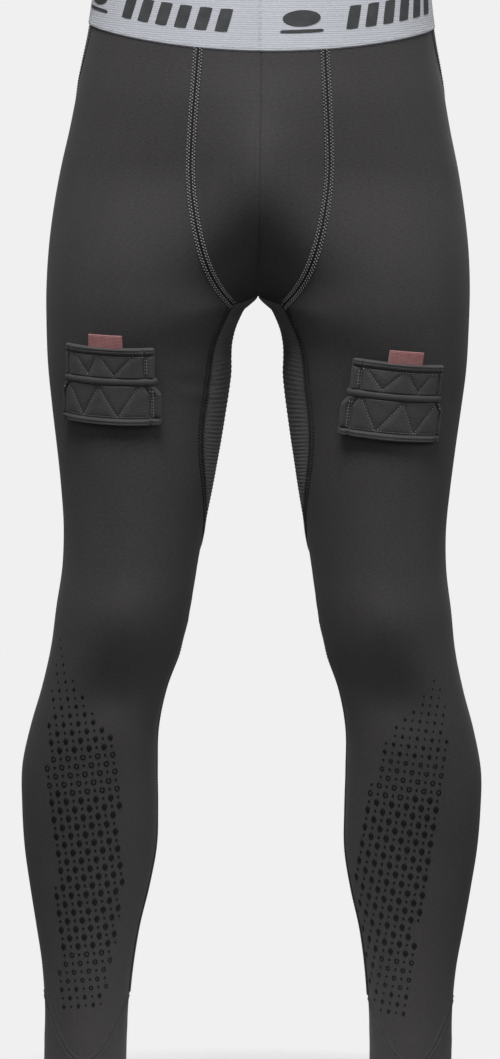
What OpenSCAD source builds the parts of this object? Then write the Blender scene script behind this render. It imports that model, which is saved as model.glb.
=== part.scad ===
// Youth hockey pants: fitted leggings sewn from stretch panels, with a cup pocket, printed shin grip
// and two hook-and-loop sock tabs on the thighs.
// Frame: +Z up, the garment's front faces -Y, the wearer's left is +X, and the origin is the middle
// of the waist opening.
//
// Every fabric piece is cut from one surface. A place on it has a level and a turn.
// level: -1 waist edge, 0 under the waistband, 1 crotch, 2 above the knee, 3 below the knee,
// 4 top of the ankle cuff, 5 hem.
// turn: -1 front middle (inner side of a leg), 0 outer side, 1 back middle (inner side again).

/* [Waist] */
// Height of the elastic waistband at the side
band_height = 48; // [36:1:60]
// How far the waist opening drops from back to front
waist_drop = 36; // [0:1:50]
// How far the pouch stands out from the belly
pouch_bulge = 15; // [0:1:20]

/* [Legs] */
// Depth of the crotch below the waist opening
crotch_depth = 246; // [220:1:270]
// Height of the knee axis below the waist opening
knee_depth = 485; // [470:1:500]
// Length from the waist opening to the ankle hem
full_length = 852; // [840:1:868]

/* [Cloth] */
// Thickness of the stretch cloth
cloth = 1.5; // [1:0.1:2.5]
// Width of a flatlock seam
seam_width = 7; // [4:0.5:9]
// How far a flatlock seam stands out from the cloth
seam_rise = 0.9; // [0.3:0.1:1.5]

/* [Sock tab] */
// Height of the right tab's sewn middle welt below the waist opening
right_tab_depth = 313; // [300:1:330]
// Height of the left tab's sewn middle welt below the waist opening
left_tab_depth = 322; // [300:1:330]
// Width of the upper flap
tab_width = 69; // [50:1:76]
// Height of the upper flap
upper_flap_height = 22.5; // [16:0.5:28]
// Height of the lower flap
lower_flap_height = 30; // [20:1:34]
// Thickness of a padded flap
flap_thick = 2.5; // [1.5:0.1:3.5]

/* [Colour] */
// Main charcoal cloth
charcoal = [0.26, 0.25, 0.255];
// Ribbed inner thigh cloth
rib_grey = [0.2, 0.2, 0.205];
// Seam thread
thread_grey = [0.42, 0.42, 0.43];
// Waistband elastic
band_grey = [0.72, 0.73, 0.76];
// Woven pull tab
tab_red = [0.53, 0.36, 0.35];
// Printed grip
grip_black = [0.07, 0.07, 0.075];

/* [Hidden] */
$fn = 64;

// The body shape every 30 mm down from the waist opening: half width to the outer side, half gap to
// the inner side, how far the middle of the section sits back, and its depths to front and back.
station_step = 30;
stations = [
    [124, 0, 0, 86, 88], [127, 0, 0, 88, 91], [131.5, 0, 0, 90, 95], [137, 0, 0, 92, 101],
    [142.5, 0, 1, 92, 107], [149, 0, 2, 91, 111], [154, 0, 3, 90, 112], [157.5, 0, 4, 89, 110],
    [159, 0, 5, 88, 106], [158.5, 0, 5, 85, 99], [157, 15.5, 5, 76, 86], [153.5, 22, 5, 68, 76],
    [149.5, 27.5, 4, 63, 69], [146, 32.5, 3, 59, 63], [143.5, 38, 2, 56, 57], [144, 43, 1, 54, 51],
    [148, 47.5, 0, 51, 46], [151.5, 54, 1, 48, 44], [158, 65, 3, 44, 46], [166.5, 71, 6, 42, 51],
    [172.5, 71.5, 9, 40.5, 55], [172.5, 71, 11, 39.5, 56], [170.5, 71.5, 13, 37.5, 52],
    [166, 76.5, 14, 35, 46], [161, 83.5, 15, 32, 41], [156, 88, 15, 30, 38],
    [153.5, 90.5, 15, 29, 37], [153.5, 91.5, 15, 29.5, 38], [153.5, 91.5, 15, 30, 38.5],
    [153.5, 91.5, 15, 30, 39]];
rise_start = 150;   // depth where the centre line starts to curve under
fork_line = 270;    // depth of the crotch line at the outer side
inner_rise = fork_line - crotch_depth;

function clamp(t) = min(1, max(0, t));
function ease(t) = let (c = clamp(t)) c * c * (3 - 2 * c);
function mix(a, b, t) = a + (b - a) * t;
function bump(x, middle, spread) = exp(-pow((x - middle) / spread, 2));

// Smooth value of one station column at a depth (Catmull-Rom).
function station(depth, column) =
    let (place = max(0, min(len(stations) - 1.001, depth / station_step)),
         i = floor(place), t = place - i,
         a = stations[max(0, i - 1)][column], b = stations[i][column],
         c = stations[i + 1][column], d = stations[min(len(stations) - 1, i + 2)][column])
    b + 0.5 * t * (c - a + t * (2 * a - 5 * b + 4 * c - d + t * (3 * (b - c) + d - a)));

// Share of the rise towards the crotch at a turn.
function inner_share(u) = pow(abs(u), 5) * (6 - 5 * abs(u));

// A whole turn on a leg comes back to the same place.
function wrap(turn) = turn > 1 ? turn - 2 : turn < -1 ? turn + 2 : turn;

// How far the trunk's section has curved under towards the crotch, and how far its middle line has
// sunk to the crotch, each from 0 to 1.
function rise_share(depth) = clamp((depth - rise_start) / (fork_line - rise_start));
function curved_under(depth) = let (t = rise_share(depth)) sin(90 * t * t * (2 - t));
function sunk(depth) = sin(90 * rise_share(depth));

// The swells of the body under the cloth: pouch, seat cleft, kneecap and the hollow below it.
seat_cleft = 9;
kneecap = 5;
knee_hollow = 6;
function pouch_swell(x, z) = -pouch_bulge * bump(x, 0, 36) * bump(z, -168, 50);
function seat_swell(x, z) = -seat_cleft * bump(x, 0, 20) * bump(z, -175, 55);
function knee_swell(angle, z) =
    knee_hollow * bump(angle, -104, 36) * bump(z, -548, 24)
    - kneecap * bump(angle, -92, 36) * bump(z, -490, 26);

// Extra gap between the legs just under the crotch, which makes its arch round.
arch_gap = 10;
arch_height = 9;
arch_fade = 40;
function arch(depth) =
    let (drop = depth - fork_line)
    arch_gap * (1 - pow(1 - clamp(drop / arch_height), 3)) * (1 - ease((drop - arch_height) / arch_fade));

// The cloth's surface, for the wearer's left half, at a depth and a turn.
function surface_at(depth, turn) =
    let (u = wrap(turn),
         under = curved_under(depth),
         on_leg = depth >= fork_line,
         outer = station(depth, 0), inner = on_leg ? station(depth, 1) : 0,
         half = on_leg ? (outer - inner) / 2 : outer / (1 + under),
         middle = outer - half,
         reach = on_leg ? 180 : 90 + asin(under),
         angle = u * reach,
         x = on_leg ? middle + half * cos(angle) + arch(depth) * pow(abs(u), 6)
           : max(0, middle + half * cos(angle)),
         y = station(depth, 2) + station(depth, sin(angle) < 0 ? 3 : 4) * sin(angle),
         lift = on_leg ? inner_rise * (1 - ease((depth - fork_line) / 90))
              : depth - mix(min(depth, rise_start), crotch_depth, sunk(depth)),
         lean = waist_drop / 2 * sin(angle) * (1 - ease((depth - 60) / 140)),
         z = -depth + lean + lift * inner_share(u),
         swell = y > 0 ? seat_swell(x, z) : pouch_swell(x, z) + (on_leg ? knee_swell(angle, z) : 0))
    [x, y + swell, z];

// Depth of the level lines, which spread behind the knee and dip in front at the ankle cuff.
behind_knee = 55;
cuff_start = 770;
cuff_dip = 50;
knee_half = 30;
hem_level = 4.75;
hem_height = 14;
function behind(turn) = sin(180 * turn) > 0 ? pow(sin(180 * turn), 2) : 0;
function above_knee(turn) = knee_depth - knee_half - behind_knee * behind(turn);
function below_knee(turn) = knee_depth + knee_half + behind_knee * behind(turn);
function cuff_top(turn) = cuff_start + cuff_dip * behind(-turn);
function level_depth(level, turn) =
    level < 0 ? band_height * (level + 1)
    : level < 1 ? mix(band_height, fork_line, level)
    : level < 2 ? mix(fork_line, above_knee(turn), level - 1)
    : level < 3 ? mix(above_knee(turn), below_knee(turn), level - 2)
    : level < 4 ? mix(below_knee(turn), cuff_top(turn), level - 3)
    : level < hem_level ? mix(cuff_top(turn), full_length - hem_height, (level - 4) / (hem_level - 4))
    : mix(full_length - hem_height, full_length, (level - hem_level) / (5 - hem_level));
function skin(level, turn) = surface_at(level_depth(level, turn), turn);

// Outward direction of the cloth, from its two tangents.
probe = 0.004;
function unit(v) = v / max(norm(v), 0.000001);
function outward(level, turn) =
    let (low = level < 1 && turn <= probe - 1 ? -1 : turn - probe,
         high = level < 1 && turn >= 1 - probe ? 1 : turn + probe)
    unit(cross(skin(level - probe, turn) - skin(level + probe, turn), skin(level, low) - skin(level, high)));

// A point off the cloth's outer face. Points near the middle plane stay on their own side of it.
function off_skin(level, turn, off) =
    let (p = skin(level, turn) + outward(level, turn) * off)
    [level <= 1 ? max(0, p.x) : p.x, p.y, p.z];

// Change of turn that goes with one millimetre around the cloth.
function turn_per_mm(level, turn) = 0.02 / norm(skin(level, turn + 0.01) - skin(level, turn - 0.01));
half_seam = seam_width / 2;

// Where the seams run, as a turn at each level. The rib panel narrows below the bend level, until its
// two seams run side by side as the twin inseam. The pouch is nipped in between waist and crotch.
rib_front = -0.77;
pouch_nip = 0.021;
rib_back = 0.75;
calf_back = 0.93;
bend_level = 1.36;
function front_seam(level) =
    level < bend_level ? rib_front - pouch_nip * bump(level, 0.7, 0.28)
    : level < 2 ? mix(rib_front, twin_seam(2), pow((level - bend_level) / (2 - bend_level), 2))
    : twin_seam(level);
function back_seam(level) = mix(rib_back, calf_back, ease((level - 2) / 1.6));
function twin_seam(level) = back_seam(level) - 2 + twin_gap(level);
function twin_gap(level) = (seam_width + 3) * turn_per_mm(level, back_seam(level));
function side_seam(level) = 0.2 * ease(level / 0.32) - 0.09 - 0.03 * ease((level - 0.45) / 0.55);
function centre_edge(level) =
    let (depth = level_depth(level, 0),
         under = curved_under(depth),
         half = station(depth, 0) / (1 + under), middle = station(depth, 0) - half)
    acos((half_seam - middle) / half) / (90 + asin(under));
function seam_near(level, turn) = turn - half_seam * turn_per_mm(level, turn);
function seam_far(level, turn) = turn + half_seam * turn_per_mm(level, turn);

// A closed sheet between a grid of outer points and a matching grid of inner points.
module sheet_between(outer, inner, closed = false) {
    rows = len(outer);
    cols = len(outer[0]);
    all_rows = rows * cols;
    function at(r, c) = r * cols + c % cols;
    last = closed ? cols - 1 : cols - 2;
    faces = [
        for (r = [0 : rows - 2], c = [0 : last])
            each [[at(r, c), at(r, c + 1), at(r + 1, c + 1)],
                  [at(r, c), at(r + 1, c + 1), at(r + 1, c)]],
        for (r = [0 : rows - 2], c = [0 : last])
            each [[all_rows + at(r, c), all_rows + at(r + 1, c + 1), all_rows + at(r, c + 1)],
                  [all_rows + at(r, c), all_rows + at(r + 1, c), all_rows + at(r + 1, c + 1)]],
        for (c = [0 : last])
            each [[at(0, c), all_rows + at(0, c + 1), at(0, c + 1)],
                  [at(0, c), all_rows + at(0, c), all_rows + at(0, c + 1)],
                  [at(rows - 1, c), at(rows - 1, c + 1), all_rows + at(rows - 1, c + 1)],
                  [at(rows - 1, c), all_rows + at(rows - 1, c + 1), all_rows + at(rows - 1, c)]],
        if (!closed) for (r = [0 : rows - 2])
            each [[at(r, 0), at(r + 1, 0), all_rows + at(r + 1, 0)],
                  [at(r, 0), all_rows + at(r + 1, 0), all_rows + at(r, 0)],
                  [at(r, cols - 1), all_rows + at(r + 1, cols - 1), at(r + 1, cols - 1)],
                  [at(r, cols - 1), all_rows + at(r, cols - 1), all_rows + at(r + 1, cols - 1)]]];
    polyhedron(points = concat([for (row = outer) each row], [for (row = inner) each row]), faces = faces);
}

// Even steps from a to b.
function steps(a, b, count) = [for (i = [0 : count]) mix(a, b, i / count)];

// Each half is modelled on the wearer's left and mirrored for the right.
module half(side) {
    if (side == "left") children();
    else mirror([1, 0, 0]) children();
}

// A cloth panel between two edges, each given as a turn per level.
module panel(levels, near_edge, far_edge, cols, top = 0, under = cloth) {
    outer = [for (l = levels) [for (u = steps(near_edge(l), far_edge(l), cols)) off_skin(l, u, top)]];
    inner = [for (l = levels) [for (u = steps(near_edge(l), far_edge(l), cols)) off_skin(l, u, -under)]];
    sheet_between(outer, inner);
}

// A flatlock seam that follows one line down the cloth.
seam_shape = [[-1, 0], [-0.6, 1], [0.6, 1], [1, 0]];
module seam_down(levels, line) {
    function place(l, s, off) = off_skin(l, line(l) + s[0] * half_seam * turn_per_mm(l, line(l)), off);
    sheet_between([for (l = levels) [for (s = seam_shape) place(l, s, s[1] * seam_rise)]],
                  [for (l = levels) [for (s = seam_shape) place(l, s, -cloth)]]);
}

// Level steps shared by every panel and seam, so that their edges meet. Pieces that end against a
// crossing seam stop a stitch short of it.
stitch = 0.002;
trunk_levels = [stitch, 0.12, 0.24, 0.36, 0.48, 0.6, 0.71, 0.81, 0.91, 1];
thigh_levels = [1, 1.03, 1.065, 1.1, 1.22, 1.34, 1.46, 1.58, 1.7, 1.8, 1.9, 2];
knee_levels = steps(2, 3, 5);
shin_levels = steps(3, 4 - stitch, 18);
seat_seam_end = 1.045;
function below(levels, start) = concat([start], [for (l = levels) if (l > start + 0.01) l]);

// Waistband and the trim at the waist
band_proud = 1.2;
// All round the waist: the left half from front to back, then the right half from back to front
half_cols = 18;
function ring_point(level, i, off) =
    let (left = i < 2 * half_cols, k = left ? i : 4 * half_cols - i,
         p = off_skin(level, k / half_cols - 1, off))
    left ? p : [-p.x, p.y, p.z];
function ring(level, off) = [for (i = [0 : 4 * half_cols - 1]) ring_point(level, i, off)];

module waistband() {
    levels = [-1, -0.95, -0.8, -0.55, -0.3, -0.148];
    rise = [0.2, 1, 1, 1, 1, 0.8];
    color(band_grey)
        sheet_between([for (i = [0 : 5]) ring(levels[i], rise[i] * band_proud)],
                      [for (l = levels) ring(l, -cloth - 0.5)], closed = true);
}

module waist_seam() {
    levels = [-0.146, -0.11, -0.036, 0];
    rise = [0.3, 1, 1, 0];
    color(thread_grey)
        sheet_between([for (i = [0 : 3]) ring(levels[i], rise[i] * seam_rise)],
                      [for (l = levels) ring(l, -cloth)], closed = true);
}

// A blank woven care label inside the back of the waistband
label_width = 32;
label_drop = 40;
label_thick = 0.8;
label_gap = 5.4;   // from the cloth's outer face to the label's front
label_top = waist_drop / 2 - 4;
module care_label() {
    outer_face = station(20, 4);
    color(band_grey)
        translate([-label_width / 2, outer_face - cloth - label_gap, label_top - label_drop])
            cube([label_width, label_thick, label_drop]);
}

// Centre seam from the waistband, down the pouch, under the crotch and up the seat
module centre_seam() {
    levels = [for (l = trunk_levels) min(l, 0.985)];
    back_first = [for (i = [len(levels) - 1 : -1 : 0]) levels[i]];
    function edge(level, way, off) = off_skin(level, way * centre_edge(level), off);
    function row(level, way, rise, under) =
        let (a = edge(level, way, rise), m = off_skin(level, way, under ? rise : seam_rise),
             x = under ? 0.5 : 0.6)
        [[-a.x, a.y, a.z], [-a.x * x, m.y, m.z], [a.x * x, m.y, m.z], a];
    color(thread_grey)
        sheet_between(
            concat([for (l = levels) row(l, -1, 0, false)], [for (l = back_first) row(l, 1, 0, false)]),
            concat([for (l = levels) row(l, -1, -cloth, true)],
                   [for (l = back_first) row(l, 1, -cloth, true)]));
}

// Inner pouch cloth that makes the cup pocket, bowed back between the pouch seams
liner_levels = [0.24, 0.34, 0.44, 0.54, 0.63];
liner_bow = 10;
liner_gap = 3;
liner_cloth = 1;
function liner_point(level, across, off) =
    let (edge = off_skin(level, front_seam(level), -cloth - liner_gap))
    [edge.x * across, edge.y + liner_bow * (1 - across * across) - off, edge.z];
module liner_sheet(levels, grow) {
    across = steps(-0.96, 0.96, 8);
    sheet_between([for (l = levels) [for (a = across) liner_point(l, a, grow)]],
                  [for (l = levels) [for (a = across) liner_point(l, a, -liner_cloth - grow)]]);
}
module cup_liner() {
    color(charcoal) liner_sheet(liner_levels, 0);
}
module liner_binding() {
    color(thread_grey) liner_sheet([liner_levels[0] - 0.04, liner_levels[0] - 0.005], 0.5);
}

// Panels and seams of the trunk and thigh
module pouch_panel(side) {
    color(charcoal) half(side)
        panel(trunk_levels, function (l) -centre_edge(l), function (l) seam_near(l, front_seam(l)), 4);
}
module pouch_seam(side) {
    color(thread_grey) half(side) seam_down(trunk_levels, function (l) front_seam(l));
}
module front_panel(side) {
    color(charcoal) half(side)
        panel(concat(trunk_levels, below(thigh_levels, 1.03)), function (l) seam_far(l, front_seam(l)),
              function (l) seam_near(l, side_seam(l)), 9);
}
module side_seam_upper(side) {
    color(thread_grey) half(side)
        seam_down(concat(trunk_levels, below(thigh_levels, 1.03)), function (l) side_seam(l));
}
module seat_panel(side) {
    levels = concat([for (l = trunk_levels) if (l < 1) l], [1 - stitch]);
    color(charcoal) half(side)
        panel(levels, function (l) seam_far(l, side_seam(l)), function (l) centre_edge(l), 8);
}
module seat_seam(side) {
    levels = steps(1, seat_seam_end - stitch, 3);
    rise = [0, 1, 1, 0];
    function across(l) = steps(seam_far(l, side_seam(l)), seam_near(l, back_seam(l)), 7);
    color(thread_grey) half(side)
        sheet_between([for (i = [0 : 3]) [for (u = across(levels[i]))
                          off_skin(levels[i], u, rise[i] * seam_rise)]],
                      [for (l = levels) [for (u = across(l)) off_skin(l, u, -cloth)]]);
}
module back_panel(side) {
    color(charcoal) half(side)
        panel(below(thigh_levels, seat_seam_end), function (l) seam_far(l, side_seam(l)),
              function (l) seam_near(l, back_seam(l)), 7);
}
rib_levels = below(thigh_levels, 1 + 5 * stitch);
module rib_panel(side) {
    color(rib_grey) half(side)
        panel(rib_levels, function (l) seam_far(l, back_seam(l)) - 2,
              function (l) seam_near(l, front_seam(l)), 5);
}
module inner_front_seam(side) {
    color(thread_grey) half(side) seam_down(rib_levels, function (l) front_seam(l));
}
module inner_back_seam(side) {
    color(thread_grey) half(side) seam_down(rib_levels, function (l) back_seam(l));
}

// The turns around a leg below the thigh: front panel, side seam, back panel and the twin inseam.
// Each is paired with how far the cloth rises there, as a share of a seam's rise.
function leg_turns(level) =
    let (a = front_seam(level), b = side_seam(level), c = back_seam(level))
    concat([for (u = steps(seam_far(level, a), seam_near(level, b), 9)) [u, 0]], bead_turns(level, b),
           [for (u = steps(seam_far(level, b), seam_near(level, c), 7)) [u, 0]], bead_turns(level, c),
           [[seam_far(level, c), 0], [seam_near(level, a) + 2, 0]], bead_turns(level, a + 2));
function bead_turns(level, line) =
    [for (s = [-0.6, 0.6]) [line + s * half_seam * turn_per_mm(level, wrap(line)), 1]];
module knee_section(side) {
    color(charcoal) half(side)
        sheet_between([for (l = knee_levels) [for (t = leg_turns(l)) off_skin(l, t[0], t[1] * seam_rise)]],
                      [for (l = knee_levels) [for (t = leg_turns(l)) off_skin(l, t[0], -cloth)]],
                      closed = true);
}

// Shin panels, seams and cuff
module shin_front(side) {
    color(charcoal) half(side)
        panel(shin_levels, function (l) seam_far(l, front_seam(l)),
              function (l) seam_near(l, side_seam(l)), 9);
}
module shin_back(side) {
    color(charcoal) half(side)
        panel(shin_levels, function (l) seam_far(l, side_seam(l)),
              function (l) seam_near(l, back_seam(l)), 7);
}
module shin_side_seam(side) {
    color(thread_grey) half(side) seam_down(shin_levels, function (l) side_seam(l));
}
module shin_inseam(side) {
    bead = [for (which = [0, 1], s = seam_shape) [which, s[0], s[1]]];
    function line(l, which) = which == 0 ? back_seam(l) - 2 : front_seam(l);
    function place(l, b, off) =
        off_skin(l, line(l, b[0]) + b[1] * half_seam * turn_per_mm(l, line(l, b[0])), off);
    color(thread_grey) half(side)
        sheet_between([for (l = shin_levels) [for (b = bead) place(l, b, b[2] * seam_rise)]],
                      [for (l = shin_levels) [for (b = bead) place(l, b, -cloth)]]);
}
function leg_ring(level, off) = [for (t = leg_turns(4)) off_skin(level, t[0], off)];
module cuff_seam(side) {
    levels = [4, 4.012, 4.04, 4.052];
    rise = [0, 1, 1, 0];
    color(thread_grey) half(side)
        sheet_between([for (i = [0 : 3]) leg_ring(levels[i], rise[i] * seam_rise)],
                      [for (l = levels) leg_ring(l, -cloth)], closed = true);
}
module ankle_cuff(side) {
    levels = [4.056, 4.2, 4.4, 4.6, hem_level, hem_level + 0.03, 5];
    hem_fold = [0, 0, 0, 0, 0, 0.5, 0.5];
    color(charcoal) half(side)
        sheet_between([for (i = [0 : 6]) leg_ring(levels[i], hem_fold[i])],
                      [for (i = [0 : 6]) leg_ring(levels[i], -cloth - hem_fold[i])], closed = true);
}

// Grip print: a thin rubbery film on the shin, narrow at both ends
film = 0.5;
print_gap = 0.45;
print_middle = -0.5;
print_reach = 0.17;
module grip_print(side) {
    levels = steps(3.08, 3.86, 16);
    function reach(l) = print_reach * sqrt(max(0.02, 1 - pow((l - 3.5) / 0.42, 4)));
    color(grip_black) half(side)
        panel(levels, function (l) print_middle - reach(l), function (l) print_middle + reach(l), 6,
              top = print_gap + film, under = -print_gap);
}

// Sock tab: stands on the front of the thigh, and is curved less than the thigh. The two tabs are sewn
// on by hand, so they sit a little differently: depth, turn and roll of each.
right_tab = [right_tab_depth, -0.4, -3.5];
left_tab = [left_tab_depth, -0.433, 3.5];
tab_radius = 75;
flap_floor = 4.8;   // height of a flap's inner face above the thigh
welt_half = 2.4;
hinge_gap = 0.5;
welt_proud = 0.8;
function tab_of(side) = side == "left" ? left_tab : right_tab;
function tab_level(side) = 1 + (tab_of(side)[0] - fork_line) / (knee_depth - knee_half - fork_line);
module on_thigh(side) {
    spot = skin(tab_level(side), tab_of(side)[1]);
    out = outward(tab_level(side), tab_of(side)[1]);
    half(side) translate(spot) rotate([asin(-out.z), 0, atan2(out.x, -out.y)])
        rotate([0, tab_of(side)[2], 0]) children();
}
// A curved slab between two heights above the thigh, with the outline of its child
module curved_slab(low, high, z0, z1) {
    turn_back = tab_radius - flap_floor;
    intersection() {
        translate([0, turn_back, z0]) rotate([0, 0, -90 - 40])
            rotate_extrude(angle = 80)
                translate([tab_radius + low - flap_floor, 0]) square([high - low, z1 - z0]);
        rotate([90, 0, 0]) translate([0, 0, -20]) linear_extrude(40) children();
    }
}
module box_outline(half_width, z0, z1) {
    translate([-half_width, z0]) square([2 * half_width, z1 - z0]);
}
upper_bottom = welt_half + hinge_gap;
upper_top = upper_bottom + upper_flap_height;
lower_end = upper_bottom + lower_flap_height;
lower_flare = 4;
module tab_welt(side) {
    color(charcoal) on_thigh(side)
        curved_slab(2.2, flap_floor + flap_thick, -welt_half, welt_half)
            box_outline(tab_width / 2, -welt_half, welt_half);
}
module loop_patch(side) {
    middle = tab_level(side);
    turn = tab_of(side)[1];
    share = 0.9 / (knee_depth - knee_half - fork_line);
    function reach(l) = 0.42 * tab_width * turn_per_mm(l, turn);
    color(rib_grey) half(side)
        panel(steps(middle - share * upper_flap_height, middle + share * lower_flap_height, 5),
              function (l) turn - reach(l), function (l) turn + reach(l), 6, top = 1.1, under = -0.4);
}
module upper_flap(side) {
    color(charcoal) on_thigh(side) union() {
        curved_slab(flap_floor, flap_floor + flap_thick, upper_bottom, upper_top)
            box_outline(tab_width / 2, upper_bottom, upper_top);
        curved_slab(flap_floor, flap_floor + flap_thick + welt_proud, upper_top - 2 * welt_half, upper_top)
            box_outline(tab_width / 2, upper_top - 2 * welt_half, upper_top);
    }
}
flare_drop = 7;     // height over which the lower flap's sides flare out
module lower_outline() {
    w = tab_width / 2;
    flare_end = -upper_bottom - flare_drop;
    polygon([[-w, -upper_bottom], [w, -upper_bottom], [w + lower_flare, flare_end],
             [w + lower_flare, -lower_end], [-w - lower_flare, -lower_end],
             [-w - lower_flare, flare_end]]);
}
module lower_flap(side) {
    color(charcoal) on_thigh(side) union() {
        curved_slab(flap_floor, flap_floor + flap_thick, -lower_end, -upper_bottom) lower_outline();
        curved_slab(flap_floor, flap_floor + flap_thick + welt_proud, -lower_end, 2 * welt_half - lower_end)
            box_outline(tab_width / 2 + lower_flare, -lower_end, 2 * welt_half - lower_end);
    }
}
hook_low = 3.6;
hook_high = flap_floor - 0.05;
hook_inset = 5;
module hooks(side, z0, z1) {
    color(rib_grey) on_thigh(side)
        curved_slab(hook_low, hook_high, z0, z1) box_outline(0.38 * tab_width, z0, z1);
}
module upper_hooks(side) {
    hooks(side, upper_bottom + hook_inset, upper_top - hook_inset);
}
module lower_hooks(side) {
    hooks(side, hook_inset - lower_end, -upper_bottom - hook_inset);
}
// A folded loop of woven tape that stands behind the upper flap's free edge
pull_width = 26;
pull_height = 11;
pull_thick = 1.6;
pull_edge = 3;      // sewn width at each end of the folded tape
pull_slot = 0.5;
pull_shift = 3;     // towards the wearer's outer side
module pull_tab(side) {
    color(tab_red) on_thigh(side)
        translate([pull_shift - pull_width / 2, -flap_floor - pull_thick - 0.6, upper_top + hinge_gap])
            difference() {
                cube([pull_width, pull_thick, pull_height]);
                translate([pull_edge, (pull_thick - pull_slot) / 2, -1])
                    cube([pull_width - 2 * pull_edge, pull_slot, pull_height]);
            }
}

waistband();
waist_seam();
care_label();
centre_seam();
cup_liner();
liner_binding();
pouch_panel("right");  // right_pouch_panel
pouch_panel("left");  // left_pouch_panel
pouch_seam("right");  // right_pouch_seam
pouch_seam("left");  // left_pouch_seam
front_panel("right");  // right_front_panel
front_panel("left");  // left_front_panel
side_seam_upper("right");  // right_side_seam
side_seam_upper("left");  // left_side_seam
seat_panel("right");  // right_seat_panel
seat_panel("left");  // left_seat_panel
seat_seam("right");  // right_seat_seam
seat_seam("left");  // left_seat_seam
back_panel("right");  // right_back_panel
back_panel("left");  // left_back_panel
rib_panel("right");  // right_rib_panel
rib_panel("left");  // left_rib_panel
inner_front_seam("right");  // right_inner_front_seam
inner_front_seam("left");  // left_inner_front_seam
inner_back_seam("right");  // right_inner_back_seam
inner_back_seam("left");  // left_inner_back_seam
knee_section("right");  // right_knee_section
knee_section("left");  // left_knee_section
shin_front("right");  // right_shin_front
shin_front("left");  // left_shin_front
shin_back("right");  // right_shin_back
shin_back("left");  // left_shin_back
shin_side_seam("right");  // right_shin_side_seam
shin_side_seam("left");  // left_shin_side_seam
shin_inseam("right");  // right_shin_inseam
shin_inseam("left");  // left_shin_inseam
cuff_seam("right");  // right_cuff_seam
cuff_seam("left");  // left_cuff_seam
ankle_cuff("right");  // right_ankle_cuff
ankle_cuff("left");  // left_ankle_cuff
grip_print("right");  // right_grip_print
grip_print("left");  // left_grip_print
tab_welt("right");  // right_tab_welt
tab_welt("left");  // left_tab_welt
loop_patch("right");  // right_loop_patch
loop_patch("left");  // left_loop_patch
upper_flap("right");  // right_upper_flap
upper_flap("left");  // left_upper_flap
lower_flap("right");  // right_lower_flap
lower_flap("left");  // left_lower_flap
upper_hooks("right");  // right_upper_hooks
upper_hooks("left");  // left_upper_hooks
lower_hooks("right");  // right_lower_hooks
lower_hooks("left");  // left_lower_hooks
pull_tab("right");  // right_pull_tab
pull_tab("left");  // left_pull_tab
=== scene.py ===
"""Youth hockey pants: cloth, seams, stitches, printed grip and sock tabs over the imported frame.

Every cloth piece lies on one surface. A place on it has a depth below the waist opening and a turn:
-1 front middle (inner side of a leg), 0 outer side, 1 back middle (inner side again). A level names
a line across the garment: -1 waist edge, 0 under the waistband, 1 crotch, 2 above the knee, 3 below
the knee, 4 top of the ankle cuff, 5 hem. Lengths are in millimetres until a mesh is made.
"""
import math

import bpy
import numpy as np
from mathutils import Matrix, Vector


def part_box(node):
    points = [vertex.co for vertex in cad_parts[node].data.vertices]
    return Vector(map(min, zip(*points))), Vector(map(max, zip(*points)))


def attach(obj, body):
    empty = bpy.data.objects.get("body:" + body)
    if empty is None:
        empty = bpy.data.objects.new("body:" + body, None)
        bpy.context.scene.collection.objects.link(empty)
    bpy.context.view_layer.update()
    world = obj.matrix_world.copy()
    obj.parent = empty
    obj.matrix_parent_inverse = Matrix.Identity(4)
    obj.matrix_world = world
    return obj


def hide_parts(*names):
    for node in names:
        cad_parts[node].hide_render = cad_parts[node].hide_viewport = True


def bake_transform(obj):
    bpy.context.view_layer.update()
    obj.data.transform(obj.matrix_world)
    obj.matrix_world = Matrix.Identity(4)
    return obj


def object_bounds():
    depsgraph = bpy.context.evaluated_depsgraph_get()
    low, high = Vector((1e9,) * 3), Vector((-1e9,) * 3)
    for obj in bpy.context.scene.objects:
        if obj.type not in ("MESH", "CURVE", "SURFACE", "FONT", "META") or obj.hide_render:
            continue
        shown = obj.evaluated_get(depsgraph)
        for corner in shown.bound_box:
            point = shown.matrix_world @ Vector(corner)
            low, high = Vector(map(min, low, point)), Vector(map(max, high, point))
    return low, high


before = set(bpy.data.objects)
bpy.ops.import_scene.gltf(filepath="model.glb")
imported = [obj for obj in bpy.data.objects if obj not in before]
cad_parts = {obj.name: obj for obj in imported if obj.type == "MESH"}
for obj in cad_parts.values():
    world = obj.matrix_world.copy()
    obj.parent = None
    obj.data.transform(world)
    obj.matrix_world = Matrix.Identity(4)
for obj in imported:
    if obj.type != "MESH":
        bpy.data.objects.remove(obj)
cad_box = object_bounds()

MM = 0.001
SIDES = {"right": -1.0, "left": 1.0}


# ---------------------------------------------------------------- camera, light and floor
def make_camera():
    data = bpy.data.cameras.new("camera")
    data.sensor_width = 36
    data.lens = 136
    data.dof.use_dof = False
    camera = bpy.data.objects.new("camera", data)
    camera.location = (-0.0037, -3.0, -0.421)
    camera.rotation_euler = (math.radians(90), math.radians(-0.77), 0)
    bpy.context.collection.objects.link(camera)
    bpy.context.scene.camera = camera


make_camera()


# ---------------------------------------------------------------- the garment's surface
BAND_HEIGHT = 48
WAIST_DROP = 36
POUCH_BULGE = 15
CROTCH_DEPTH = 246
KNEE_DEPTH = 485
FULL_LENGTH = 852
CLOTH = 1.5
SEAM_WIDTH = 7
HALF_SEAM = SEAM_WIDTH / 2

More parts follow.
